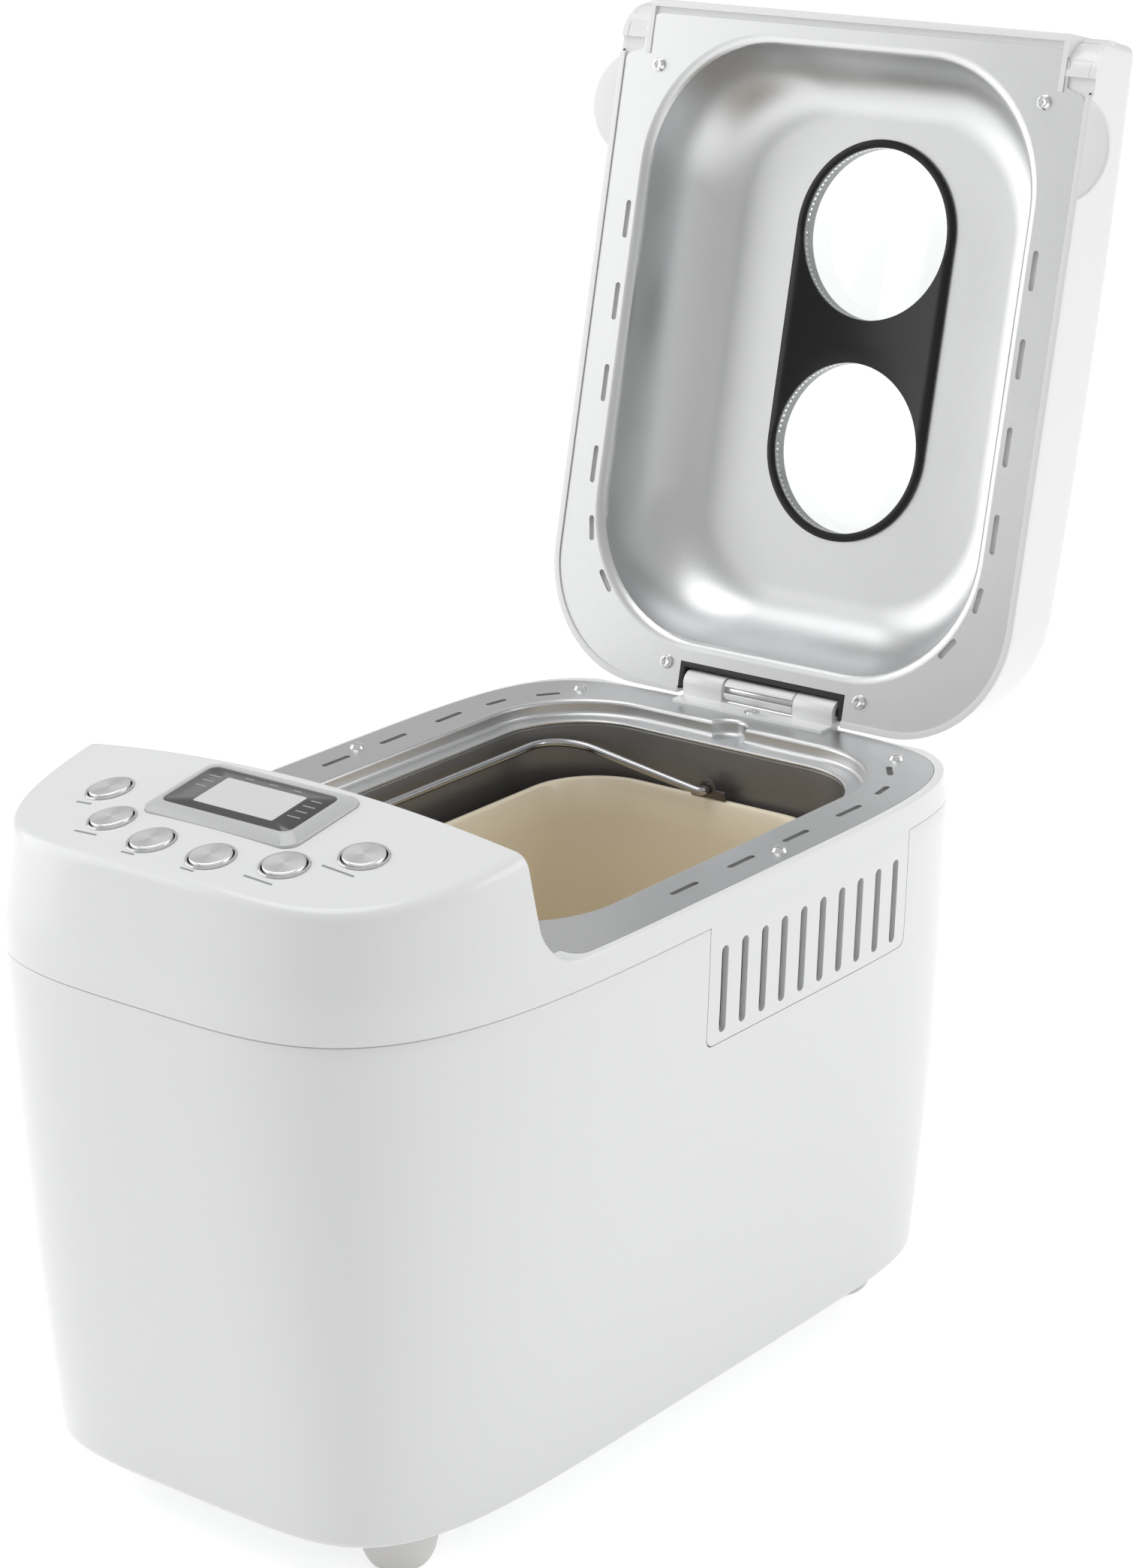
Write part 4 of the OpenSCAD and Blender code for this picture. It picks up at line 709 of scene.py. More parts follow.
def levelled(outline, z):
    """An outline at a height."""
    return [(x, y, z) for x, y in outline]


def oven_outline(grow):
    """The outline of the oven, point for point as the opening's outline."""
    half_l, edge_x = oven_l / 2 + grow, math.sqrt(pocket_r ** 2 - pocket_in ** 2)
    tail = [(edge_x * (1 - i / 8), oven_y + half_l) for i in range(9)]
    return opening(oven_w / 2 + grow, half_l, oven_r + grow, edge_x, tail)


satin_steel = surface("satin_steel", (0.66, 0.665, 0.67), 1.0, tone=0.07, patch=14.0, speckle=1500.0,
                      rough=0.36, spread=0.12, bump=0.25, depth=0.00012)
plate = carve(prism(rim_outline(0), rim_z - rim_t, rim_z), prism(hole_outline(1.8), 200, 260))
rim_mesh = taken(carve(plate, slot_cutter(200, 260)))
ledge_z = 230.8
rings = [levelled(hole_outline(1.8 * (1 - math.sin(a))), rim_z - 1.8 + 1.8 * math.cos(a))
         for a in quarter(6)]
rings += [levelled(hole_outline(0), 233.6)]
rings += [levelled(hole_outline(-1.6 * (1 - math.cos(a))), 233.6 - 1.6 * math.sin(a))
          for a in quarter(4, 1)]
rings += [levelled(oven_outline(grow), z)
          for grow, z in [(1.2, 232.0), (0.35, 231.8), (0, 231.4), (0, ledge_z), (2, ledge_z)]]
rings += [levelled(hole_outline(grow), z)
          for grow, z in [(1.2, ledge_z), (1.2, 236.8), (1.8, rim_z - rim_t)]]
loft(rim_mesh, rings)
bmesh.ops.recalc_face_normals(rim_mesh, faces=rim_mesh.faces)
finished(rim_mesh, "steel_rim", "base", satin_steel, ["top_flange"])

# ---------------------------------------------------------------------------
# Oven chamber
# A deep coated steel tub with soft corners and a soft foot. Its walls show as
# a warm dark grey between the rim and the pan.
# ---------------------------------------------------------------------------
oven_coating = surface("oven_coating", (0.225, 0.222, 0.22), 0.8, tone=0.1, patch=9.0, speckle=1100.0,
                       rough=0.42, spread=0.12, bump=0.2)
rings = [levelled(oven_outline(5), 230.0), levelled(oven_outline(5), 230.75),
         levelled(oven_outline(1.2), 230.75)]
rings += [levelled(oven_outline(1.2 * (1 - math.sin(a))), 229.55 + 1.2 * math.cos(a))
          for a in quarter(4, 1)]
rings += [levelled(oven_outline(0), 229.5 - (229.5 - oven_floor - 9) * i / 6) for i in range(1, 7)]
rings += [levelled(oven_outline(-9 * (1 - math.cos(a))), oven_floor + 9 - 9 * math.sin(a))
          for a in quarter(6, 1)]
rings += shrunk(oven_outline(-9), oven_floor, (0.6, 0.3, 0.0))
rings += shrunk(oven_outline(-8.2), oven_floor - 0.8, (0.0, 0.3, 0.6, 1.0))
rings += [levelled(oven_outline(0.8 - 9 * (1 - math.cos(a))), oven_floor + 8.2 - 9 * math.sin(a))
          for a in [math.pi / 2 * (1 - i / 6) for i in range(1, 7)]]
rings += [levelled(oven_outline(0.8), 229.2), levelled(oven_outline(1.2), 230.0)]
chamber = sound_loft(rings)
for y in paddle_ys:
    carve(chamber, prism(circle(13, 0, y), 45, 60))
for x in (-15, 15):
    carve(chamber, prism(circle(3.8), 0, 30, Matrix.Translation((x, oven_y - oven_l / 2 + 15, 80))
                         @ Matrix.Rotation(math.pi / 2, 4, "X")))
finished(taken(chamber), "oven_chamber_shell", "base", oven_coating, ["oven_chamber"])

# ---------------------------------------------------------------------------
# Bread pan
# A cream coated pan that tapers to its floor, with a rolled rim, a soft foot
# and two holes for the paddles' bushes.
# ---------------------------------------------------------------------------
pan_w, pan_l, pan_top, pan_floor, pan_t = 137.0, 211.0, 210.0, 70.0, 1.5


def pan_ring(z, grow):
    """The pan's wall at a height."""
    t = (pan_top - z) / (pan_top - pan_floor)
    return levelled(rounded(pan_w - 14 * t + 2 * grow, pan_l - 14 * t + 2 * grow, 30 - 4 * t + grow, 0,
                            oven_y, 12), z)


pan_coating = surface("pan_coating", (0.86, 0.77, 0.6), settings={"Coat Weight": 0.5, "Coat Roughness": 0.1},
                      tone=0.03, patch=16.0, speckle=1400.0, rough=0.33, spread=0.1, bump=0.12)
rings = []
roll = 1.85
for i in range(13):
    a = math.pi * 1.35 * i / 12
    rings.append([(x, y, pan_top - roll + roll * math.sin(a))
                  for x, y, z in pan_ring(pan_top, roll - roll * math.cos(a))])
rings.append(pan_ring(pan_top - 3.2, pan_t))
rings += [pan_ring(pan_top - 3.2 - (pan_top - pan_floor - 11.2) * i / 8, pan_t) for i in range(1, 9)]
rings += [[(x, y, pan_floor + 8 - 8 * math.sin(a))
           for x, y, z in pan_ring(pan_floor, pan_t - 8 * (1 - math.cos(a)))]
          for a in quarter(5, 1)]
rings += shrunk(pan_ring(pan_floor, pan_t - 8), pan_floor, (0.6, 0.3, 0.0))
rings += shrunk(pan_ring(pan_floor, -8), pan_floor + pan_t, (0.0, 0.3, 0.6, 1.0))
rings += [[(x, y, pan_floor + pan_t + 8 - 8 * math.sin(a))
           for x, y, z in pan_ring(pan_floor + 2, -8 * (1 - math.cos(a)))]
          for a in [math.pi / 2 * (1 - i / 5) for i in range(1, 6)]]
rings += [pan_ring(pan_floor + 12 + (pan_top - pan_floor - 14) * i / 8, 0) for i in range(9)]
pan = sound_loft(rings)
for y in paddle_ys:
    carve(pan, prism(circle(8.0, 0, y), 60, 75))
finished(taken(pan), "bread_pan_shell", "pan", pan_coating, ["bread_pan"])

# ---------------------------------------------------------------------------
# Lid shell
# The white dome of the lid. Its sides lean in, its crowned top falls away to
# the hinge in one round, and two thin grips stand out of its sides.
# ---------------------------------------------------------------------------
opened = (Matrix.Translation((0, pin_y, pin_z)) @ Matrix.Rotation(math.radians(-104), 4, "X")
          @ Matrix.Translation((0, -pin_y, -pin_z)))
lid_z, lip_z, lid_w, lid_rear, lid_front = 241.0, 240.4, 241.4, 196.0, -100.0
lid_round, lid_r, lid_lean = 66.0, 54.0, 10.2
cut_x, cut_y, cut_top = 43.5, 181.75, 252.9


def lid_height(x, y):
    """Height of the closed lid's outside."""
    swell = 5.6 * (1 - ((y - 35) / 135) ** 2) * (x / 110.5) ** 2
    high = panel_top - x * x / (2 * crown) + swell
    u = max(0.0, min(1.0, (y - (lid_rear - lid_round)) / lid_round))
    return lid_z + (high - lid_z) * math.sqrt(max(0.0, 1 - u ** 2.15))


def lid_half(half_w, rear, r, inset):
    """The right half of the lid's outline from the front middle to the rear middle."""
    rf, rr = max(0.4, 4.0 - inset), r - inset
    half_w, front, rear = half_w - inset, lid_front + inset, rear - inset
    half = [((half_w - rf) * i / 8, front) for i in range(8)]
    half += front_corner(half_w, front, rf, 6)
    half += [(half_w, front + rf + (rear - rr - front - rf) * i / 26) for i in range(1, 26)]
    half += rear_corner(half_w, rear, rr, 20)
    half += [((half_w - rr) * (1 - i / 8), rear) for i in range(1, 9)]
    return half


def lid_column(k, inset, low, reach, rows=12):
    """One column of the lid's skin, drawn in by inset: wall, soft edge, and over to the middle."""
    foot, head = lid_feet[inset][k], lid_heads[inset][k]
    height = lambda x, y: lid_height(x, y) - inset

    def on_wall(z):
        t = (z - lip_z) / (panel_top + 6 - lip_z)
        return Vector((foot[0] + (head[0] - foot[0]) * t, foot[1] + (head[1] - foot[1]) * t, z))

    a, b = low, panel_top + 4
    for _ in range(40):
        z = (a + b) / 2
        p = on_wall(z)
        a, b = (z, b) if z < height(p.x, p.y) else (a, z)
    rim = on_wall(max(a, low + 0.02))
    middle = Vector((0, max(-45.0, min(128.0, rim.y)), 0))
    step = Vector((middle.x - rim.x, middle.y - rim.y, 0))
    step = step.normalized() if step.length > 0.01 else Vector((0, 1, 0))
    reach = min(reach, 0.45 * (rim.z - low))
    down = (on_wall(rim.z - 1) - rim).normalized()
    ahead = Vector((rim.x + 0.5 * step.x, rim.y + 0.5 * step.y, 0))
    ahead.z = height(ahead.x, ahead.y)
    inward = (ahead - rim).normalized()
    column = [on_wall(low + (rim.z + down.z * reach - low) * i / rows) for i in range(rows)]
    rounded_top(column, rim, down, inward, middle, height, reach, 22, 1.6)
    return column


insets = (0.0, 2.4)
lid_feet = {n: lid_half(lid_w / 2, lid_rear, lid_r, n) for n in insets}
lid_heads = {n: lid_half(lid_w / 2 - lid_lean, lid_rear - 9, lid_r - 6, n) for n in insets}
lip_half = lid_half(lid_w / 2, lid_rear, lid_r, 3.1)
ledge_half = lid_half(lid_w / 2 - 12.7, lid_rear - 12.75, 63.5, 9.0)
columns = []
for k in range(len(lid_feet[0.0])):
    outside = lid_column(k, 0.0, lip_z + 0.6, 5.5)
    inside = lid_column(k, 2.4, 243.96, 2.0)
    fx, fy = lid_feet[0.0][k]
    lx, ly = lip_half[k]
    near = Vector((lx - fx, ly - fy, 0)).normalized()
    edge = [Vector((lx, ly, 243.9 - 1.94)), Vector((lx, ly, lip_z + 0.25)), Vector((lx, ly, lip_z)),
            Vector((fx + near.x * 0.6, fy + near.y * 0.6, lip_z)),
            Vector((fx + near.x * 0.17, fy + near.y * 0.17, lip_z + 0.17))]
    gx, gy = ledge_half[k]
    ledge = [Vector((gx, gy, 243.96)), Vector((gx, gy, 241.97)), Vector((lx, ly, 241.97))]
    columns.append(list(reversed(inside)) + ledge + edge[1:] + outside)
lid_mesh = ring_solid(columns)
lid = body_of_mesh(lid_mesh)
carve(lid, block((-cut_x, cut_y, 200), (cut_x, 220, cut_top)))
carve(lid, slot_cutter(230, 243.3, 0.8))
window_ys = (-11.35, 81.35)
for y in window_ys:
    carve(lid, prism(circle(39.1, 0, y, 96), 270, 310))


def stadium(r, steps=48):
    """The outline of the double window's frame."""
    top = [(r * math.cos(a), window_ys[1] + r * math.sin(a))
           for a in [math.pi * i / steps for i in range(steps + 1)]]
    return top + [(-x, window_ys[0] + window_ys[1] - y) for x, y in top]


carve(lid, prism(stadium(42.0), 289.0, 310))
# the front corners clear the swept walls behind the panel
relief = bmesh.new()
sweep_turns = [-math.pi / 2 - math.pi / 2 * i / 12 for i in range(13)]
side_view = [(-130.0, 200.0), (-76.5, 200.0), (-76.5, 241.9), (-83.0, 241.9)]
side_view += [(panel_back + notch_r + (notch_r - 2) * math.cos(a),
               rim_z + notch_r + (notch_r - 2) * math.sin(a))
              for a in sweep_turns]
side_view += [(-130.0, rim_z + notch_r)]
for side in (-1, 1):
    slab(relief, side_view, *sorted((side * (wing_x - 2), side * 140)), matrix=along_x)
carve(lid, body_of_mesh(relief))
lid_all = taken(lid)


def grip(side):
    """A thin rounded ear on the lid's side."""
    gx, gy, r, t = 132.0 - 23.0, -54.5, 23.0, 3.0
    turns = [math.pi * (i / 40 - 0.5) for i in range(41)]
    profile = [(r - 1.2 * (1 - math.sin(a)), lip_z + 0.03 + t / 2 - t / 2 * math.cos(a))
               for a in [math.pi * i / 10 for i in range(11)]]
    rings = [[(max(119.0, gx + rr * math.cos(a)), gy + rr * math.sin(a), z) for a in turns]
             for rr, z in profile]
    rings.append([(118.4, gy + 0.8 * r * math.sin(a), profile[-1][1]) for a in turns])
    rings.insert(0, [(118.4, gy + 0.8 * r * math.sin(a), profile[0][1]) for a in turns])
    return [[(side * x, y, z) for x, y, z in ring] for ring in rings]


for side in (-1, 1):
    loft(lid_all, grip(side))
walls = [((-cut_x - 2.4, cut_y - 2.4, 242.0), (-cut_x, 194.0, cut_top + 2.4)),
         ((cut_x, cut_y - 2.4, 242.0), (cut_x + 2.4, 194.0, cut_top + 2.4)),
         ((-cut_x, cut_y - 2.4, 242.0), (cut_x, cut_y, cut_top + 2.4)),
         ((-cut_x, cut_y, cut_top), (cut_x, 192.4, cut_top + 2.4))]
for low, high in walls:
    box(lid_all, low, high)
for side in (-1, 1):
    bend = [(math.cos(a), math.sin(a)) for a in sweep_turns]
    middle = (panel_back + notch_r, rim_z + notch_r)
    inner = [(middle[0] + 14.6 * c, middle[1] + 14.6 * k) for c, k in bend]
    outer = [(middle[0] + 16.9 * c, middle[1] + 16.9 * k) for c, k in bend]
    slab(lid_all, outer + inner[::-1], *sorted((side * 106.4, side * 117.4)), matrix=along_x)
    slab(lid_all, inner + [(middle[0] - 14.6, middle[1] + 2), (lid_front + 0.15, middle[1] + 2),
                           (lid_front + 0.15, lid_z - 0.5), (middle[0] + 6.4, lid_z - 0.5),
                           (middle[0] + 6.4, middle[1] - 14.6)],
         *sorted((side * 104.1, side * 106.42)), matrix=along_x)
bmesh.ops.recalc_face_normals(lid_all, faces=lid_all.faces)
finished(lid_all, "lid_dome", "lid", white_plastic, ["lid_shell"], turned=opened)

# ---------------------------------------------------------------------------
# Lid liner
# The satin steel sheet inside the lid, pressed into one deep dish with soft
# sides, slotted like the rim and cut out for the hinge and the windows.
# ---------------------------------------------------------------------------
dish_w, dish_l, dish_deep, dish_r = 193.0, 256.0, 39.0, 58.0


def liner_outline():
    """The sheet's outline: notched front corners and large rear corners."""
    half_w, rear, r = 117.3, 193.8, 50.6
    notch_x, front, corner_y = 108.0, -94.0, -76.5
    half = [(i * 25.0, front) for i in range(4)] + front_corner(notch_x, front, 8, 8)
    half += [(notch_x, corner_y - 2)] + front_corner(half_w, corner_y, 4, 6)
    half += rear_corner(half_w, rear, r, 24)
    return mirrored(half + [(0.0, rear)])


def dish_ring(inset, z):
    """The dish's wall where it has come in by inset."""
    return levelled(rounded(dish_w - 2 * inset, dish_l - 2 * inset, dish_r - inset / 2, 0, oven_y, 16), z)


sheet = carve(prism(liner_outline(), lid_z, lid_z + 1),
              prism([(x, y) for x, y, z in dish_ring(-5, 0)], 200, 300))
carve(sheet, slot_cutter(200, 300))
profile = [(-5.0, 0.0)] + [(-5 + 4.2 * math.sin(a), 4.2 * (1 - math.cos(a)) * 0.9)
                           for a in [math.radians(9 * i) for i in range(1, 8)]]
start = profile[-1]
for i in range(1, 21):
    t = i / 20
    a = math.pi / 2 * t
    profile.append((start[0] + (27 - start[0]) * (1 - math.cos(a)),
                    start[1] + (dish_deep - start[1]) * math.sin(a)))
rings = [dish_ring(inset, lid_z + z) for inset, z in profile]
rings += shrunk(rings[-1], lid_z + dish_deep, (0.75, 0.5, 0.25, 0.0))
top_rings = [[(x, y, z + 1) for x, y, z in ring] for ring in rings]
dish = sound_loft(rings + list(reversed(top_rings)))
for y in window_ys:
    carve(dish, prism(circle(39.1, 0, y, 96), 270, 310))
liner_mesh = taken(carve(sheet, block((-cut_x, cut_y, 200), (cut_x, 220, 260))))
liner_mesh.from_mesh(dish.data)
bpy.data.objects.remove(dish)
finished(liner_mesh, "lid_liner_sheet", "lid", satin_steel, ["lid_liner"], turned=opened)

# ---------------------------------------------------------------------------
# Feet
# Four bowl-shaped feet of milky rubber under the corners of the base.
# ---------------------------------------------------------------------------
def lathe(bm, profile, matrix=None, steps=64):
    """A closed turned shape from a profile of (radius, height) that starts and ends on the axis."""
    made = wrap(bm, len(profile), steps + 1,
                lambda row, i: Vector((profile[row][0] * math.cos(2 * math.pi * (i % steps) / steps),
                                       profile[row][0] * math.sin(2 * math.pi * (i % steps) / steps),
                                       profile[row][1])))
    if matrix is not None:
        bmesh.ops.transform(bm, matrix=matrix, verts=made)
    bmesh.ops.remove_doubles(bm, verts=made, dist=0.0005)
    bmesh.ops.recalc_face_normals(bm, faces=bm.faces)


milky_rubber = surface("milky_rubber", (0.78, 0.78, 0.76),
                       settings={"Subsurface Weight": 0.25, "Subsurface Scale": 0.004}, speckle=1300.0,
                       rough=0.42, bump=0.08)
feet_mesh = bmesh.new()
foot_profile = [(0.0, 0.0), (7.6, 0.0)]
foot_profile += [(8.5 + 7.0 * math.sin(a), 17.0 * (1 - math.cos(a))) for a in quarter(14)]
foot_profile += [(15.5, 23.1), (15.2, 23.5), (0.0, 23.5)]
foot_x, foot_ys = 68.0, (-138.0, 150.0)
for x in (-foot_x, foot_x):
    for y in foot_ys:
        lathe(feet_mesh, foot_profile, Matrix.Translation((x, y, 0)), 48)
finished(feet_mesh, "feet_bowls", "base", milky_rubber, ["feet"])

# ---------------------------------------------------------------------------
# Display
# A light grey bevelled frame round dark glass, with the pale blank screen in
# it and short plain bars on the glass where such a display has its legend.
# ---------------------------------------------------------------------------
on_display = panel_frame(0, display_y)


def framed(rows):
    """A closed mesh lofted through rounded rectangles, each given as width, length, corner and height."""
    bm = bmesh.new()
    loft(bm, [levelled(rounded(w, l, r), z) for w, l, r, z in rows])
    bmesh.ops.recalc_face_normals(bm, faces=bm.faces)
    return bm


frame_mesh = framed([(76.0, 41.8, 5.8, -0.9), (76.0, 41.8, 5.8, -0.1), (75.6, 41.4, 5.6, 0.25),
                     (67.4, 33.2, 4.8, 2.35), (66.6, 32.4, 4.6, 2.6), (64.8, 30.6, 4.0, 2.6),
                     (64.2, 30.0, 3.8, 2.4), (63.9, 29.7, 3.7, 1.6), (63.9, 29.7, 3.7, -0.9)])
bezel_grey = surface("bezel_grey", (0.56, 0.565, 0.57), settings={"Coat Weight": 0.4, "Coat Roughness": 0.15},
                     rough=0.32)
finished(frame_mesh, "display_bezel", "base", bezel_grey, ["display_frame"], turned=on_display)
screen_glass = surface("screen_glass", (0.04, 0.038, 0.042),
                       settings={"Coat Weight": 0.8, "Coat Roughness": 0.04}, tone=0.05, speckle=700.0,
                       rough=0.22, spread=0.04, bump=0.02)
screen_pale = surface("screen_pale", (0.72, 0.725, 0.72),
                      settings={"Coat Weight": 0.8, "Coat Roughness": 0.04}, tone=0.06, patch=60.0,
                      speckle=1500.0, bump=0.02)
glass_mesh = framed([(0.2, 0.2, 0.05, 1.0), (63.4, 29.2, 3.5, 1.0), (63.4, 29.2, 3.5, 2.0),
                     (62.8, 28.6, 3.3, 2.2), (0.2, 0.2, 0.05, 2.2)])
finished(glass_mesh, "display_glass", "base", screen_glass, ["display_window"],
         turned=on_display)
lcd_mesh = bmesh.new()
slab(lcd_mesh, rounded(39.8, 19.8, 0.8), 1.9, 2.215)
finished(lcd_mesh, "display_screen", "base", screen_pale, turned=on_display)
legend_mesh = bmesh.new()
marks = [(-25.4, 8.6, 6.4), (-25.4, 4.6, 5.6), (-25.4, 0.6, 5.6), (25.4, 8.6, 5.2), (25.4, 4.4, 6.0),
         (25.4, 0.2, 5.6), (25.4, -4.0, 6.4), (-11.0, 12.2, 4.2), (1.0, 12.2, 4.2), (13.0, 12.2, 4.2)]
for x, y, w in marks:
    slab(legend_mesh, rounded(w, 0.62, 0.15, x, y, 2), 2.17, 2.225)
legend_white = surface("legend_white", (0.4, 0.4, 0.4), rough=0.4, bump=0.02)
finished(legend_mesh, "display_legend", "base", legend_white, turned=on_display)

# ---------------------------------------------------------------------------
# Buttons
# Six spun metal caps, each in a polished ring with a narrow dark gap, and one
# printed bar in front of each in place of its name.
# ---------------------------------------------------------------------------
def spun_metal_group():
    """Fine rings round a cap's own axis as a height, and a painted sheen as a change of tone: two light and
    two dark sectors round the axis.
    """
    group, given = new_group("spun_rings_and_painted_sheen", [("Rings", "Float", 900.0), ("Strength", "Float", 0.1),
                                            ("Depth", "Float", 0.00002)],
                             [("Tone", "Float"), ("Normal", "Vector")])
    uv = node_in(group, "ShaderNodeUVMap", uv_map="polar")
    polar = node_in(group, "ShaderNodeSeparateXYZ", {0: uv.outputs["UV"]}).outputs
    scaled = node_in(group, "ShaderNodeMath", {0: polar["X"], 1: given["Rings"]}, operation="MULTIPLY")
    fine = node_in(group, "ShaderNodeTexNoise", {"Scale": 1.0}, noise_dimensions="1D")
    group.links.new(scaled.outputs[0], fine.inputs["W"])
    # painted sheen: the tone rises and falls twice round the axis, as the highlights of spun metal would
    turn = node_in(group, "ShaderNodeMath", {0: polar["Y"], 1: 4 * math.pi}, operation="MULTIPLY")
    painted_sheen_wave = node_in(group, "ShaderNodeMath", {0: turn.outputs[0]}, operation="COSINE")
    tone = node_in(group, "ShaderNodeMath", {0: painted_sheen_wave.outputs[0], 1: 0.10, 2: 0.89}, operation="MULTIPLY_ADD")
    bump = node_in(group, "ShaderNodeBump", {"Strength": given["Strength"], "Distance": given["Depth"],
                                             "Height": fine.outputs["Fac"]})
    node_in(group, "NodeGroupOutput", {"Tone": tone.outputs[0], "Normal": bump.outputs["Normal"]})
    return group


spun_metal = bpy.data.materials.new("spun_metal")
spun_metal.use_nodes = True
tree = spun_metal.node_tree
shader = tree.nodes["Principled BSDF"]
shader.inputs["Metallic"].default_value = 1.0
shader.inputs["Roughness"].default_value = 0.27
spun = node_in(tree, "ShaderNodeGroup", node_tree=spun_metal_group())
# the group's Tone puts the painted sheen of light and dark sectors into the base colour
tree.links.new(spun.outputs["Tone"], shader.inputs["Base Color"])
tree.links.new(spun.outputs["Normal"], shader.inputs["Normal"])
chrome = surface("chrome", (0.78, 0.785, 0.79), 1.0, tone=0.03, patch=60.0, speckle=1500.0, rough=0.12,
                 bump=0.03)


def polar_uv(bm, matrix):
    """Stores each corner's distance from a cap's axis, in metres, and its share of a full turn."""
    layer = bm.loops.layers.uv.new("polar")
    back = matrix.inverted()
    for face in bm.faces:
        middle = back @ face.calc_center_median()
        for corner in face.loops:
            p = back @ corner.vert.co
            flat = Vector((p.x, p.y))
            angle = math.atan2(p.y, p.x) if flat.length > 0.2 else math.atan2(middle.y, middle.x)
            if angle - math.atan2(middle.y, middle.x) > math.pi:
                angle -= 2 * math.pi
            if angle - math.atan2(middle.y, middle.x) < -math.pi:
                angle += 2 * math.pi
            corner[layer].uv = (flat.length / 1000, angle / (2 * math.pi))


button_names = ["menu", "weight", "time_down", "time_up", "crust", "start_stop"]
cap_profile = [(0.0, -4.9), (1.9, -4.9), (1.9, -3.5), (7.8, -3.5), (8.0, -3.3), (8.05, 0.7), (7.97, 1.05),
               (7.65, 1.3), (7.2, 1.38)]
cap_profile += [(7.2 * (1 - i / 6), 1.38 - 0.1 * math.sin(math.pi / 2 * i / 6)) for i in range(1, 7)]
collar_profile = [(8.62, -2.9), (9.28, -2.9), (9.28, 0.08), (9.55, 0.12), (9.66, 0.3), (9.45, 0.52),
                  (9.1, 0.58), (8.75, 0.5), (8.62, 0.3)]
ring_mesh = bmesh.new()
for name, (x, y) in zip(button_names, button_places):
    spot = panel_frame(x, y)
    cap = bmesh.new()
    lathe(cap, cap_profile, spot)
    polar_uv(cap, spot)
    finished(cap, name + "_cap", name + "_key", spun_metal, [name + "_button"], smooth=40.0)
    single = bmesh.new()
    loft(single, [levelled(circle(r), z) for r, z in collar_profile])
    bmesh.ops.transform(single, matrix=spot, verts=single.verts)
    bmesh.ops.recalc_face_normals(single, faces=single.faces)
    scratch_mesh = bpy.data.meshes.new("ring")
    single.to_mesh(scratch_mesh)
    single.free()
    ring_mesh.from_mesh(scratch_mesh)
    bpy.data.meshes.remove(scratch_mesh)
finished(ring_mesh, "button_collars", "base", chrome, ["button_rings"])
printed_grey = surface("printed_grey", (0.3, 0.305, 0.31), tone=0.03, rough=0.4, bump=0.02)
print_mesh = bmesh.new()


def printed(outline, x, y):
    """A printed mark, a hair above the panel."""
    slab(print_mesh, outline, -0.25, 0.06, panel_frame(x, y))


for (x, y), length in zip(button_places, (8.0, 11.5, 6.5, 6.5, 13.5, 15.0)):
    printed(rounded(length, 1.0, 0.25, 0, 0, 2), x - 1.5, y - (11.0 if abs(x) < 20 else 12.4))
finished(print_mesh, "panel_marks", "base", printed_grey)

# ---------------------------------------------------------------------------
# Pan handle
# A polished wire bail with soft corners, lying to the left, that swings in a
# dark lug at each end of the pan.
# ---------------------------------------------------------------------------
def tube_along(bm, path, r, steps=20):
    """A round wire along a path of points, with domed ends."""
    path = [Vector(p) for p in path]
    tangents = [(path[min(i + 1, len(path) - 1)] - path[max(i - 1, 0)]).normalized()
                for i in range(len(path))]
    across = tangents[0].orthogonal().normalized()
    rings = []
    for i, (p, t) in enumerate(zip(path, tangents)):
        across = (across - t * across.dot(t)).normalized()
        other = t.cross(across)
        ring = [p + r * (across * math.cos(2 * math.pi * j / steps)
                         + other * math.sin(2 * math.pi * j / steps))
                for j in range(steps)]
        if i in (0, len(path) - 1):
            outward = -t if i == 0 else t
            caps = [[p + (q - p) * math.cos(a) + outward * r * 0.6 * math.sin(a) for q in ring]
                    for a in [math.pi / 2 * m / 4 for m in range(1, 5)]]
            rings += list(reversed(caps)) + [ring] if i == 0 else [ring] + caps
        else:
            rings.append(ring)
    made = wrap(bm, len(rings), steps + 1, lambda row, j: rings[row][j % steps])
    bmesh.ops.remove_doubles(bm, verts=made, dist=0.0005)
    bmesh.ops.recalc_face_normals(bm, faces=bm.faces)


bail_d, pivot_z, bail_reach, bail_rest, arm_y = 3.6, 214.0, 78.0, 8.0, 101.0
bail_turn = Matrix.Translation((0, oven_y, pivot_z)) @ Matrix.Rotation(math.radians(bail_rest), 4, "Y")
path = [(0, arm_y + 7.2, 0), (0, arm_y + 3.2, 0)]
path += [(-2.2 + 2.2 * math.cos(a), arm_y + 2.2 - 2.2 * math.sin(a), 0) for a in quarter(6, 1)]
path += [(-2.2 - (bail_reach - 22.2) * i / 6, arm_y, 0) for i in range(1, 7)]
path += [(-bail_reach + 20 - 20 * math.sin(a), arm_y - 20 + 20 * math.cos(a), 0) for a in quarter(16, 1)]
path += [(-bail_reach, (arm_y - 20) * (1 - i / 5), 0) for i in range(1, 6)]
path += [(x, -y, z) for x, y, z in reversed(path[:-1])]
wire_steel = surface("wire_steel", (0.46, 0.46, 0.47), 1.0, tone=0.08, speckle=1500.0, rough=0.2, spread=0.08,
                     bump=0.04)
wire_mesh = bmesh.new()
tube_along(wire_mesh, path, bail_d / 2, 24)
finished(wire_mesh, "pan_bail", "handle", wire_steel, ["pan_handle"], smooth=60,
         turned=bail_turn)
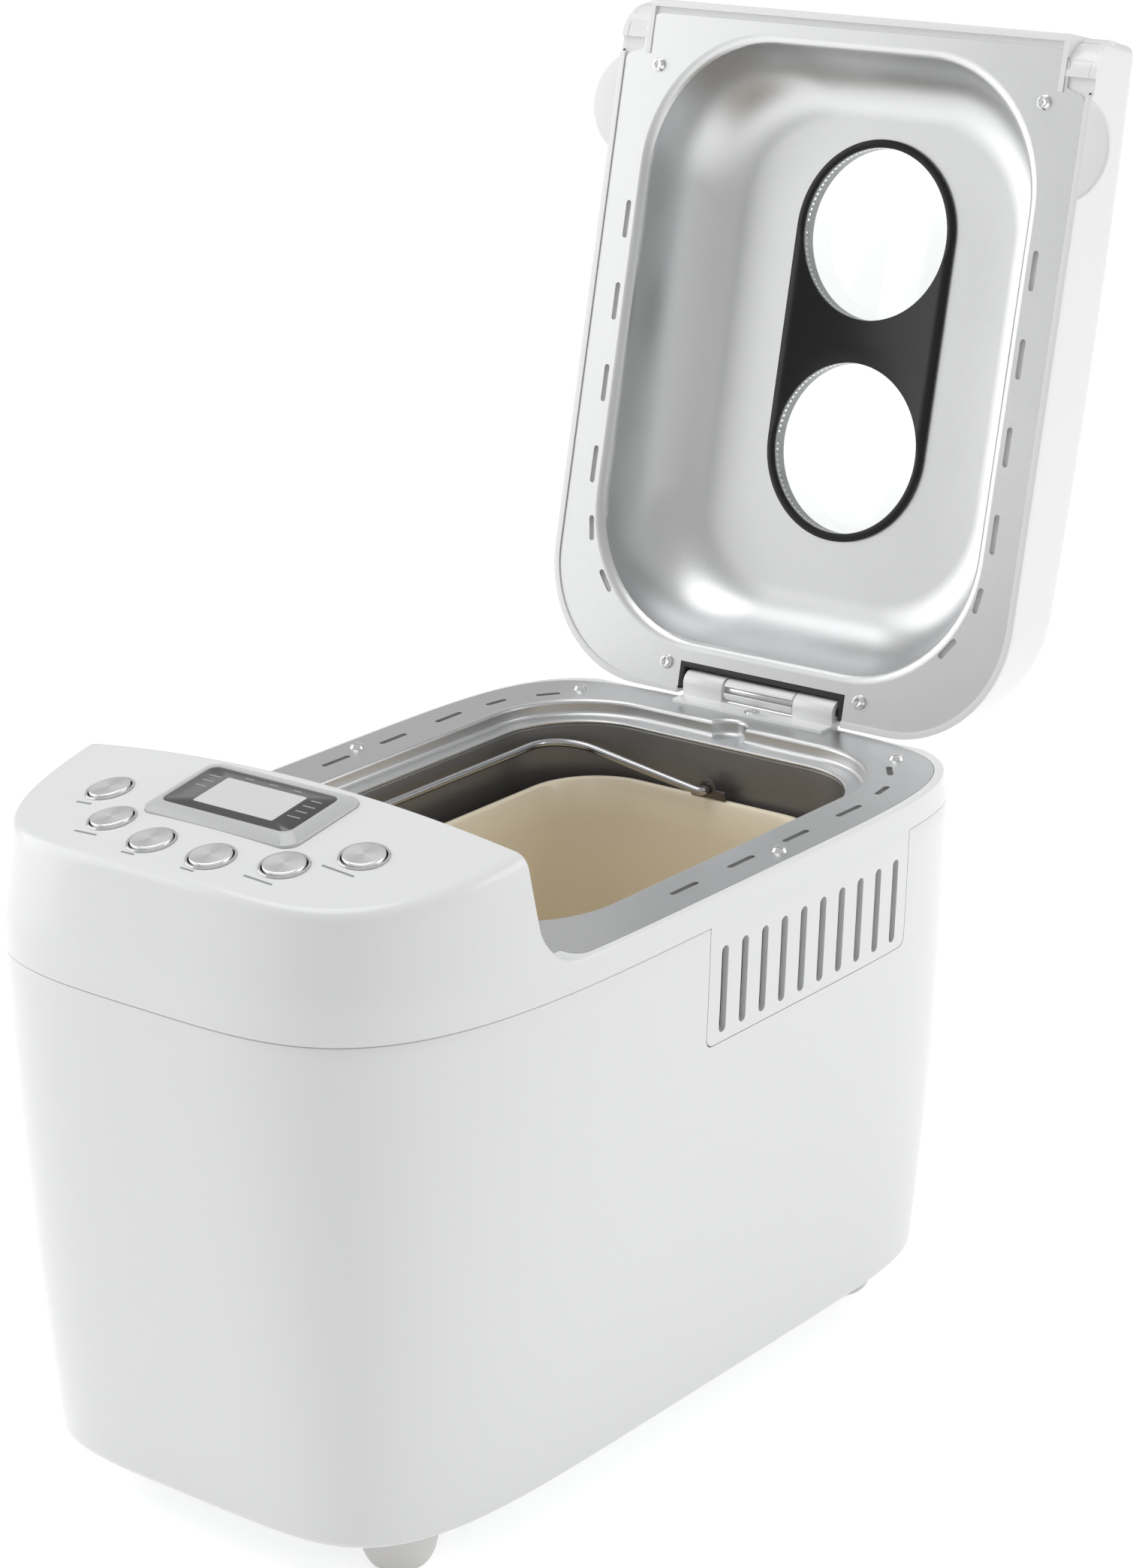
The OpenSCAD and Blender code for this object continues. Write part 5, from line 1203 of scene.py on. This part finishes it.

# ---------------------------------------------------------------------------
# Plain parts
# Every part whose CAD shape is already the real one: its mesh is merged, its
# sharp edges are eased where an ease is given, and it gets a finish of its own.
# ---------------------------------------------------------------------------
def dressed(node, slot_name, material, ease=0.0):
    """A copy of a CAD node's mesh, merged, with its sharp edges eased when ease is given, that stands for the
    node.
    """
    bm = bmesh.new()
    bm.from_mesh(frame["nodes"][node].data)
    bmesh.ops.scale(bm, vec=(1 / mm, 1 / mm, 1 / mm), verts=bm.verts)
    bmesh.ops.remove_doubles(bm, verts=bm.verts, dist=0.002)
    bmesh.ops.dissolve_limit(bm, angle_limit=math.radians(0.6), use_dissolve_boundaries=False, verts=bm.verts,
                             edges=bm.edges, delimit={"NORMAL"})
    if ease:
        sharp = [e for e in bm.edges if len(e.link_faces) == 2 and e.calc_face_angle() > math.radians(40)]
        bmesh.ops.bevel(bm, geom=sharp, offset=ease, offset_type="OFFSET", affect="EDGES", segments=2,
                        profile=0.5, material=-1, clamp_overlap=True)
    bmesh.ops.triangulate(bm, faces=[f for f in bm.faces if len(f.verts) > 4])
    return finished(bm, node + "_part", frame["nodes"][node]["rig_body"], material, [node])


zinc_plate = surface("zinc_plate", (0.56, 0.57, 0.58), 0.9, tone=0.12, patch=40.0, rough=0.42, spread=0.15,
                     bump=0.15)
heater_steel = surface("heater_steel", (0.17, 0.155, 0.145), 0.7, tone=0.2, patch=50.0, rough=0.55,
                       spread=0.2, bump=0.3)
bush_bronze = surface("bush_bronze", (0.62, 0.42, 0.2), 1.0, tone=0.1, speckle=1400.0, rough=0.38, spread=0.1,
                      bump=0.2)
motor_case = surface("motor_case", (0.42, 0.43, 0.45), 0.8, tone=0.08, rough=0.4, spread=0.1)
shaft_steel = surface("shaft_steel", (0.66, 0.665, 0.67), 1.0, tone=0.05, speckle=1500.0, rough=0.2,
                      spread=0.08, bump=0.08)
pulley_plastic = surface("pulley_plastic", (0.035, 0.035, 0.036), tone=0.08, rough=0.5, bump=0.15)
belt_rubber = surface("belt_rubber", (0.022, 0.022, 0.022), tone=0.15, rough=0.75, bump=0.4)
circuit_board = surface("circuit_board", (0.03, 0.16, 0.06), settings={"Coat Weight": 0.5}, tone=0.15,
                        patch=120.0, rough=0.4, bump=0.1)
black_plastic = surface("black_plastic", (0.006, 0.006, 0.0065), settings={"Specular IOR Level": 0.3},
                        tone=0.1, speckle=1400.0, rough=0.26, spread=0.06, bump=0.08)
gasket_rubber = surface("gasket_rubber", (0.02, 0.02, 0.02), tone=0.12, rough=0.62, bump=0.3)
lug_steel = surface("lug_steel", (0.15, 0.145, 0.14), 0.9, tone=0.15, rough=0.35, spread=0.12)
paddle_coating = surface("paddle_coating", (0.11, 0.105, 0.1), 0.2,
                         settings={"Coat Weight": 0.4, "Coat Roughness": 0.2}, tone=0.12, patch=60.0,
                         rough=0.4, spread=0.12, bump=0.2)
window_plastic = surface("window_plastic", (0.62, 0.63, 0.64),
                         settings={"Coat Weight": 0.3, "Coat Roughness": 0.1}, tone=0.03, rough=0.28)
clear_glass = surface("clear_glass", (0.96, 0.97, 0.97), settings={"Transmission Weight": 1.0, "IOR": 1.45},
                      tone=0.0, rough=0.02, spread=0.01, bump=0.0)
plain_parts = [
    ("base_plate", "zinc_plate", zinc_plate), ("base_screws", "screw_steel", chrome, 0.12),
    ("flange_screws", "screw_steel", chrome, 0.15), ("heat_shield", "zinc_plate", zinc_plate),
    ("chamber_posts", "zinc_plate", zinc_plate), ("heating_element", "heater_steel", heater_steel),
    ("heater_clips", "zinc_plate", zinc_plate), ("temperature_sensor", "screw_steel", chrome),
    ("chassis_frame", "zinc_plate", zinc_plate), ("shaft_bushes", "bush_bronze", bush_bronze),
    ("motor", "motor_case", motor_case), ("motor_shaft", "shaft_steel", shaft_steel, 0.2),
    ("motor_pulley", "pulley_plastic", pulley_plastic), ("drive_belt", "belt_rubber", belt_rubber),
    ("front_drive_shaft", "shaft_steel", shaft_steel), ("rear_drive_shaft", "shaft_steel", shaft_steel),
    ("front_drive_pulley", "pulley_plastic", pulley_plastic),
    ("rear_drive_pulley", "pulley_plastic", pulley_plastic),
    ("control_board", "circuit_board", circuit_board), ("lcd_module", "lcd", screen_pale),
    ("power_board", "circuit_board", circuit_board), ("cord_inlet", "black_plastic", black_plastic, 0.3),
    ("pan_socket", "zinc_plate", zinc_plate), ("pan_base_ring", "zinc_plate", zinc_plate),
    ("pan_lugs", "oven_coating", lug_steel, 0.15), ("pan_bushes", "bush_bronze", bush_bronze),
    ("front_paddle_shaft", "shaft_steel", shaft_steel), ("rear_paddle_shaft", "shaft_steel", shaft_steel),
    ("front_paddle", "paddle_coating", paddle_coating), ("rear_paddle", "paddle_coating", paddle_coating),
    ("window_bezel", "black_plastic", black_plastic, 0.25),
    ("window_tubes", "window_plastic", window_plastic), ("window_glass", "clear_glass", clear_glass),
    ("outer_window", "clear_glass", clear_glass, 0.2), ("lid_screws", "screw_steel", chrome, 0.15),
    ("hinge_gasket", "gasket_rubber", gasket_rubber, 0.3), ("lid_knuckle", "housing", white_plastic, 0.4),
    ("hinge_block", "housing", white_plastic, 0.4), ("hinge_pin", "shaft_steel", chrome, 0.3),
    ("hinge_screws", "screw_steel", chrome, 0.15)]
for part in plain_parts:
    dressed(*part)

bpy.context.scene.view_settings.view_transform = "Standard"
